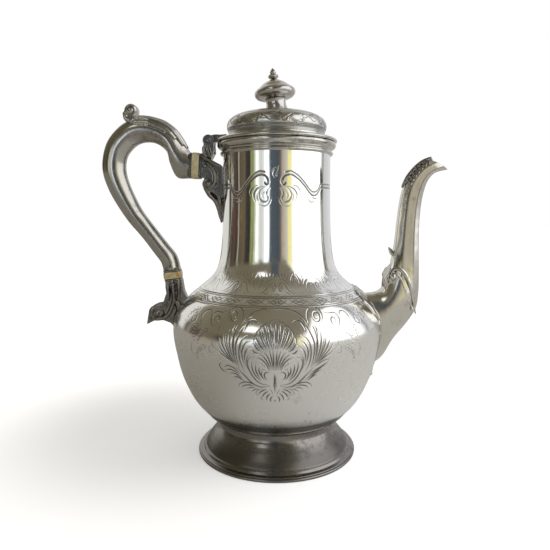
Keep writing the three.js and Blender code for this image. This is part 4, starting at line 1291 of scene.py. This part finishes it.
# ---------------------------------------------------------------- cast brackets of the handle
def upper_socket():
    """A solid scroll bracket: a ridge on each side runs into a ball, over a leaf that tapers to a point."""
    parts = [slab([(-55.2, 219.6), (-51.8, 217.6), (-46, 214.2), (-39.0, 210.8), (-38.9, 188), (-43.6, 190.2),
                   (-48.2, 193), (-52.0, 196.4), (-52.6, 199.6), (-51.6, 202), (-55.2, 203.6)], 4.9)]
    parts += ribs([(-54.4, 214.2), (-49.8, 212.8), (-45.8, 209.2), (-44.0, 204.0), (-44.6, 198.8),
                   (-47.4, 195.6), (-51.0, 195.4), (-52.6, 198.4), (-51.2, 201.2)], 40, (1.2, 1.35, 1.1), 4.8)
    parts += ribs([(-54.8, 218.6), (-50.6, 216.8), (-46, 213.8), (-40.4, 211.2)], 20, (1.5, 1.3, 0.9), 4.2)
    parts += [ball((-49.2, y, 198.4), 2.5) for y in (-4.4, 0, 4.4)]
    parts.append(slab([(-49.6, 193.4), (-45.4, 188.4), (-43.2, 182), (-41.8, 175.6), (-40.6, 171.2),
                       (-39.3, 171.4), (-38.9, 186), (-38.9, 194)], 2.2))
    parts += ribs([(-51.2, 195.4), (-48.6, 190.4), (-45.0, 186.6), (-42.8, 181), (-41.7, 175.6),
                   (-40.5, 170.9)],
                  30, (1.9, 1.4, 0.7), ([0, 14, 29], [3.6, 2.4, 0.3]))
    parts += ribs([(-45.4, 194), (-42.0, 189), (-40.8, 182), (-40.2, 174.4)], 22, (1.6, 1.5, 0.6),
                  ([0, 10, 21], [3.6, 2.6, 0.2]))
    parts.append(tube(in_plane([(-52.6, 219.4), (-48.6, 217.6)]), 1.9, 12, 2.2))
    return cast("upper_bracket", parts, 0.42)


finished(upper_socket(), "pot", "cast_silver", cast_silver, "upper_handle_socket")


def lower_socket():
    """A solid scroll bracket: a stalk with one long ridge, which curls round a ball above a pointed tip."""
    parts = [slab([(-82.2, 128.2), (-81.0, 121.6), (-79.8, 115), (-83.0, 110), (-88.4, 109.2), (-92.8, 106.6),
                   (-94.4, 102.6), (-96.4, 95.2), (-91.0, 98.0), (-84.2, 98.4), (-78.6, 96.2), (-75.0, 91.8),
                   (-74.2, 100), (-71.0, 107), (-66.6, 115.4), (-68.8, 121), (-70.0, 129.4)], 4.2)]
    parts += ribs([(-77.0, 128), (-76.2, 122.6), (-75.8, 114.4), (-77.8, 107.6), (-81.0, 102.2),
                   (-85.6, 99.6), (-90.8, 99.6), (-93.2, 103.2), (-91.4, 107.2), (-87.6, 107.4)], 48,
                  (1.3, 1.3, 1.1), ([0, 16, 47], [5.4, 4.4, 3.9]))
    parts += ribs([(-80.8, 117), (-83.4, 110.6), (-88.4, 109.2), (-92.8, 106.8), (-94.4, 102.4),
                   (-96.3, 95.8)],
                  30, (1.4, 1.5, 0.8), ([0, 20, 29], [4.0, 3.4, 1.2]))
    parts += [ball((-89.4, y, 103.6), 2.9, 0.9) for y in (-3.6, 0, 3.6)]
    for x, z, lean in ((-80.6, 123, 0.4), (-72.2, 123, -0.2)):
        parts += ribs([(x, z + 5.6), (x + lean, z), (x + 2 * lean, z - 8)], 12, (1.5, 1.9, 1.2), 4.0)
    parts += ribs([(-73.4, 112), (-71.6, 106.6), (-74.4, 100.4), (-75.6, 94)], 18, (2.0, 2.4, 0.9), 4.2)
    obj = cast("lower_bracket", parts, 0.42)
    return chased(obj, [[(-79.2, 126), (-78.6, 119.6), (-79.4, 112.4)],
                        [(-73.6, 127), (-73.0, 120.6), (-72.8, 114.6)],
                        [(-84.6, 106.6), (-83.6, 103.4), (-85.4, 101.6)]], 0.5, 0.8)


finished(lower_socket(), "pot", "cast_silver", cast_silver, "lower_handle_socket")


def thumb_scroll():
    """The ball-ended scroll on top of the handle, with its smooth leaf laid down the front of the bend."""
    parts = [ball((-103.9, y, 250.0), 4.9, 0.85) for y in (-2.2, 0, 2.2)]
    hook = curve([(-108.2, 247.8), (-107.0, 244.2), (-102.6, 242.6), (-97.4, 243.6)], 20)
    for y in (3.4, 1.2):
        parts += both_sides(hook, taper(20, 1.6, 2.2, 1.6), y)
    top = curve([(-101.6, 245.4), (-95, 245.2), (-88.6, 244.0), (-80.6, 241.2), (-73.4, 236.4),
                 (-68.6, 230.6), (-64.6, 224.4)], 50)
    way = directions(top)
    under = np.column_stack([way[:, 1], -way[:, 0]])
    for y, down, size, stop in ((0, 0, 2.4, 50), (2.6, 0.3, 2.2, 50), (4.8, 1.4, 2.0, 47),
                                (6.0, 3.6, 1.8, 40), (6.3, 5.9, 1.3, 30)):
        line = (top + under * down)[:stop]
        parts += both_sides(line, taper(stop, 0.8 * size, size, 0.45 * size),
                            y * np.interp(np.arange(stop), [0, 12, 49], [0.75, 1, 0.8]))
    obj = cast("thumb_leaf", parts, 0.42, 4)
    return chased(obj, [spiral((-103.9, 250.0), 3.3, 0.9, 250, 1.1, 20)], 0.5, 0.7)


finished(thumb_scroll(), "pot", "cast_silver", handle_silver, "handle_thumb_scroll")


# ---------------------------------------------------------------- insulators and pins
UPPER_PLACE = tipped(3.25, -58.4, 211.4)
LOWER_PLACE = tipped(83.5, -76.9, 132.0)
BLOCK_SIDES = 72
TENON = 8.0


def block_ring(x, high, deep, power):
    """The rounded oblong outline of a block at x, as points in the block's own place."""
    angle = on_disc(BLOCK_SIDES)
    return np.column_stack([np.full(BLOCK_SIDES, x), deep / 2 * squarish(np.sin(angle), power),
                            high / 2 * squarish(np.cos(angle), power)])


def insulator(name, thick, high, deep, place, material, node):
    """A block with rounded edges and a slightly bowed outline, and a tenon on each face."""
    face, end = thick / 2, thick / 2 + TENON
    rim = block_ring(0, high, deep, 0.42)
    tenon = block_ring(0, 5.6, 4.4, 0.42)
    half = [(thick / 6, 1.0, rim), (face - 0.45, 0.993, rim), (face - 0.12, 0.975, rim), (face, 0.94, rim),
            (face, 1, tenon), (end - 0.4, 1, tenon), (end, 0.9, tenon), (end, 0.02, tenon)]
    whole = [(-x, size, ring) for x, size, ring in half[::-1]] + half
    points = placed(np.vstack([ring * [1, size, size] + [x, 0, 0] for x, size, ring in whole]), place)
    obj = facing_out(make_object(name, points, capped_faces(len(whole), BLOCK_SIDES)))
    return finished(obj, "pot", "ivory", material, node)


insulator("upper_spacer", 5.2, 18.6, 13.0, UPPER_PLACE, upper_ivory, "upper_insulator")
insulator("lower_spacer", 4.9, 13.2, 12.4, LOWER_PLACE, lower_ivory, "lower_insulator")


def socket_collar(name, place, x, high, deep):
    """The stepped end of a socket that a spacer meets."""
    side = 1 if x > 0 else -1
    steps = ((0, 0.55), (0, 0.95), (0.25, 1.0), (1.2, 1.0), (1.5, 0.96), (1.7, 0.9), (2.6, 0.9), (2.9, 0.86),
             (3.0, 0.55))
    rings = [block_ring(x + side * along, high * size, deep * size, 0.5) for along, size in steps]
    faces = grid_faces(len(rings), BLOCK_SIDES, wrap_rows=True, wrap_columns=True)
    obj = facing_out(make_object(name, placed(np.vstack(rings), place), faces, 30))
    return finished(obj, "pot", "cast_silver", cast_silver)


socket_collar("upper_socket_collar", UPPER_PLACE, 2.75, 18.2, 12.8)
socket_collar("upper_handle_collar", UPPER_PLACE, -2.75, 18.4, 12.8)
socket_collar("lower_socket_collar", LOWER_PLACE, 2.6, 12.8, 12.0)
socket_collar("lower_handle_collar", LOWER_PLACE, -2.6, 12.9, 12.2)


def lying_along_y(x, z):
    """A place at x, z in which heights run along the Y axis."""
    return np.array([[1, 0, 0, x], [0, 0, 1, 0], [0, -1, 0, z], [0, 0, 0, 1]], float)


def cross_pin(name, place, x, node):
    """A pin whose ends are hammered into low domes."""
    half = 6.75
    outline = mirrored_down([(0.02, half + 0.32), (0.6, half + 0.26), (1.1, half + 0.02), (1.1, half - 0.3),
                             (1.1, 0)])
    obj = turned(name, outline, 28, closed=False, corner=0.15, lift=place @ lying_along_y(x, 0))
    return finished(obj, "pot", "cast_silver", cast_silver, node)


cross_pin("upper_handle_rivet", UPPER_PLACE, -7.0, "upper_handle_pin")
cross_pin("upper_socket_rivet", UPPER_PLACE, 7.0, "upper_socket_pin")
cross_pin("lower_handle_rivet", LOWER_PLACE, -6.85, "lower_handle_pin")
cross_pin("lower_socket_rivet", LOWER_PLACE, 6.85, "lower_socket_pin")


# ---------------------------------------------------------------- the hinge
HINGE_PLACE = lying_along_y(-48.5, 228.6)
KNUCKLE, KNUCKLE_GAP = 5.4, 0.35
KNUCKLE_STEP = KNUCKLE + KNUCKLE_GAP


def barrel(name, y, body, radius=4.0):
    """A knuckle turned about the hinge's axis, with worn edges and a fine groove."""
    low, high = y - KNUCKLE / 2, y + KNUCKLE / 2
    outline = [(1.6, low), (radius - 0.3, low), (radius, low + 0.35), (radius, y - 0.4), (radius - 0.2, y),
               (radius, y + 0.4), (radius, high - 0.35), (radius - 0.3, high), (1.6, high)]
    return finished(turned(name, outline, 64, corner=0.2, lift=HINGE_PLACE), body, "cast_silver", cast_silver)


barrel("hinge_knuckle_front", -KNUCKLE_STEP, "pot")
barrel("hinge_knuckle_back", KNUCKLE_STEP, "pot")
barrel("hinge_knuckle_lid", 0, "lid")
pin_end = KNUCKLE_STEP + KNUCKLE / 2 + 0.8
pin_outline = mirrored_down([(0.02, pin_end), (0.9, pin_end - 0.05), (1.5, pin_end - 0.5), (1.5, 0)])
finished(turned("hinge_rod", pin_outline, 32, closed=False, corner=0.15, lift=HINGE_PLACE), "pot",
         "cast_silver", cast_silver, "hinge_pin")


def hinge_strut():
    """The stand-away strut under the knuckles, open in the middle so that the lid's knuckle can turn."""
    parts = []
    for y in (-KNUCKLE_STEP, KNUCKLE_STEP):
        outline = [(-51.8, 228), (-52.1, 222.6), (-51.4, 219.2), (-47.2, 216.4), (-44.6, 221), (-44.9, 228)]
        parts.append(slab(outline, KNUCKLE / 2 - 0.15, y))
    parts.append(slab([(-52.0, 223.2), (-51.4, 218.8), (-47.0, 216.2), (-45.2, 219.4), (-46.2, 223.2)],
                      KNUCKLE_STEP))
    front = curve([(-52.0, 223.6), (-51.9, 220.6), (-50.4, 217.6)], 10)
    parts += both_sides(front, 1.1, KNUCKLE_STEP + 1.4)
    obj = cast("hinge_strut", parts, 0.36, 2)
    return chased(obj, [[(-51, 225), (-50.4, 221.4), (-48.2, 218.4)],
                        [(-48.6, 225), (-47.6, 221), (-46.6, 218.6)]], 0.4, 0.7)


finished(hinge_strut(), "pot", "cast_silver", cast_silver, "hinge_bracket")


def hinge_leaf():
    """The lid's side of the hinge: a tongue that runs over the flange to the dome, with a raised rib."""
    parts = [slab([(-49.0, 231.9), (-45.2, 232.6), (-41, 232.4), (-37.4, 232.6), (-35.9, 233.0),
                   (-35.9, 231.6), (-38.4, 230.4), (-42.8, 229.3), (-44.6, 227.6), (-47.5, 226.4)], 2.5)]
    rib = curve([(-48.6, 232.2), (-44.8, 233.0), (-40.6, 232.9), (-36.6, 233.3)], 18)
    parts.append(tube(in_plane(rib), taper(18, 0.7, 0.9, 0.8), 12, 1.6))
    parts += ribs([(-41.4, 231.4), (-38.6, 231.6), (-36.4, 232.4)], 12, (0.8, 1.0, 0.7),
                  ([0, 11], [2.2, 4.6]))
    return cast("lid_tongue", parts, 0.34, 2)


finished(hinge_leaf(), "lid", "cast_silver", cast_silver, "lid_hinge_arm")


# ---------------------------------------------------------------- floor, camera and light
def studio_floor():
    """A pale sheet that glows more with distance for the camera, which paints a soft shadow by the pot.

    Reflections see one that goes from warm grey on the handle's side to white on the spout's.
    """
    bpy.ops.mesh.primitive_grid_add(x_subdivisions=24, y_subdivisions=24, size=14.0, location=(0, 0, 0))
    floor = bpy.context.object
    floor.name = "floor"
    material = bpy.data.materials.new("floor_paper")
    s = Shading(material)
    place = s.own_space()
    cloud = s.noise(place, 3.0, 3.0)
    across = s.smooth(s.math("MULTIPLY_ADD", cloud, 0.1, s.parts(place)[0]), -0.08, 0.10)
    warm = s.mix(across, rgba(0.61, 0.583, 0.545), rgba(1.0, 1.0, 1.0))
    seen = s.node("ShaderNodeLightPath", out=0)
    pale = s.node("ShaderNodeBsdfDiffuse", {"Color": rgba(0.86, 0.86, 0.87)})
    # painted shadow: the glow is weakest round a point 10 cm to the handle's side of the pot and 3 cm behind
    # it
    offset = s.node("ShaderNodeVectorMath", {0: place, 1: (0.10, -0.03, 0.0)}, operation="ADD")
    far = s.node("ShaderNodeVectorMath", {0: offset}, out=1, operation="LENGTH")
    lit = s.node("ShaderNodeEmission", {"Color": rgba(1, 1, 1),
                                        "Strength": s.smooth(far, 0.05, 0.17, 0.40, 0.66)})
    pale = s.node("ShaderNodeAddShader", {0: pale, 1: lit})
    grey = s.node("ShaderNodeBsdfDiffuse", {"Color": warm})
    both = s.node("ShaderNodeMixShader", {0: seen, 1: grey, 2: pale})
    s.node("ShaderNodeOutputMaterial", {"Surface": both})
    floor.data.materials.append(material)


def studio_camera():
    """The photograph's camera, as it was fitted to the circles of the foot, the rim and the lid."""
    data = bpy.data.cameras.new("camera")
    data.lens = 33.97
    data.sensor_width = 36
    data.clip_start = 0.01
    below_level = 6.45
    camera = bpy.data.objects.new("camera", data)
    camera.location = (-0.0012, -0.3834, 0.1751)
    camera.rotation_euler = (math.radians(90 - below_level), 0, 0)
    bpy.context.scene.collection.objects.link(camera)
    bpy.context.scene.camera = camera


def studio_light():
    """Soft panels and dark flags round the pot, drawn in the world by azimuth and height above the horizon.

    Azimuth is measured in degrees from -Y, towards +X.
    """
    world = bpy.data.worlds.new("studio")
    bpy.context.scene.world = world
    s = Shading(world)
    way = s.node("ShaderNodeTexCoord", out=0)
    x, y, z = s.parts(way)
    azimuth = s.math("DEGREES", s.math("ARCTAN2", x, s.math("MULTIPLY", y, -1.0)))
    height = s.math("DEGREES", s.math("ARCSINE", s.math("MINIMUM", s.math("MAXIMUM", z, -1.0), 1.0)))
    turn = s.math("MULTIPLY_ADD", azimuth, 1 / 360, 0.5)
    stops = [
        (-180, (205, 205, 202)), (-128, (196, 194, 188)), (-122, (70, 62, 54)), (-113, (64, 56, 50)),
        (-110, (176, 172, 160)), (-107, (62, 54, 48)), (-100, (84, 74, 62)), (-88, (60, 50, 44)),
        (-86.5, (196, 192, 180)), (-84, (88, 78, 62)), (-70, (104, 92, 74)), (-66, (60, 56, 54)),
        (-57, (50, 48, 50)), (-54, (150, 154, 96)), (-50, (116, 124, 78)), (-46, (196, 198, 182)),
        (-40, (228, 230, 222)), (-32, (206, 208, 202)), (-24, (238, 244, 250)), (-16, (214, 222, 230)),
        (-13, (80, 90, 96)), (4, (70, 80, 86)), (8, (118, 96, 92)), (11, (168, 158, 142)),
        (22, (204, 200, 184)), (27, (246, 244, 222)), (104, (250, 250, 252)), (114, (196, 197, 199)),
        (150, (216, 217, 218)), (179, (205, 205, 202)),
    ]
    walls = s.colours(turn, [((a + 180) / 360, linear(*c)) for a, c in stops], smooth=False)
    ceiling = s.colours(turn, [(0.0, linear(150, 146, 132)), (0.12, linear(128, 122, 106)),
                               (0.3, linear(104, 98, 80)), (0.55, linear(116, 110, 94)),
                               (0.75, linear(126, 121, 108)), (0.9, linear(160, 157, 148)),
                               (1.0, linear(150, 146, 132))])
    top = s.smooth(azimuth, 14, 60, 15.0, 54.0)
    ragged = s.math("MULTIPLY_ADD", s.noise(way, 5.0, 4.0, 0.6), 16.0, -8.0)
    under = s.math("SUBTRACT", s.math("ADD", top, ragged), height)
    colour = s.mix(s.smooth(under, -4.0, 3.0), ceiling, walls)

    def panel(low, high, bottom, head, soft, soft_up, shade, gain):
        """A panel between two azimuths and two heights, with soft edges."""
        nonlocal colour
        mask = s.math("MULTIPLY", s.window(azimuth, low, high, soft), s.window(height, bottom, head, soft_up))
        colour = s.mix(mask, colour, rgba(*linear(*shade, gain)))

    panel(-180, -120, -40, 50, 3, 8, (214, 213, 208), 1.0)
    panel(-104, -90, -12, 1.6, 1.0, 1.5, (118, 40, 50), 1.0)
    panel(-82, -76, -3, 2.0, 1.5, 1, (166, 150, 80), 1.0)
    panel(-55, -50, -8, 2.5, 1.5, 2, (172, 186, 84), 1.0)
    bright = s.math("MULTIPLY", s.window(azimuth, 33, 104, 3), s.smooth(under, -3.0, 3.0))
    colour = s.mix(bright, colour, rgba(*linear(250, 250, 250, 1.45)))
    panel(-25, -16, -10, 15, 1.5, 2, (240, 246, 255), 1.5)
    panel(-44, -38, -8, 14, 1.0, 2, (240, 246, 238), 1.3)
    panel(-40, -22, 36, 50, 2, 3, (244, 244, 240), 1.6)
    panel(23, 29, -8, 20, 1.5, 3, (244, 236, 150), 1.0)
    panel(-12, 4, 15, 52, 2, 5, (74, 80, 86), 1.0)
    panel(112, 116, -6, 60, 1.2, 3, (112, 112, 112), 1.0)
    background = s.node("ShaderNodeBackground", {"Color": colour, "Strength": 1.12})
    plain_white = s.node("ShaderNodeBackground", {"Color": rgba(1, 1, 1), "Strength": 1.0})
    seen = s.node("ShaderNodeLightPath", out=0)
    both = s.node("ShaderNodeMixShader", {0: seen, 1: background, 2: plain_white})
    s.node("ShaderNodeOutputWorld", {"Surface": both})
    bpy.context.scene.view_settings.view_transform = "Standard"


studio_floor()
studio_camera()
studio_light()
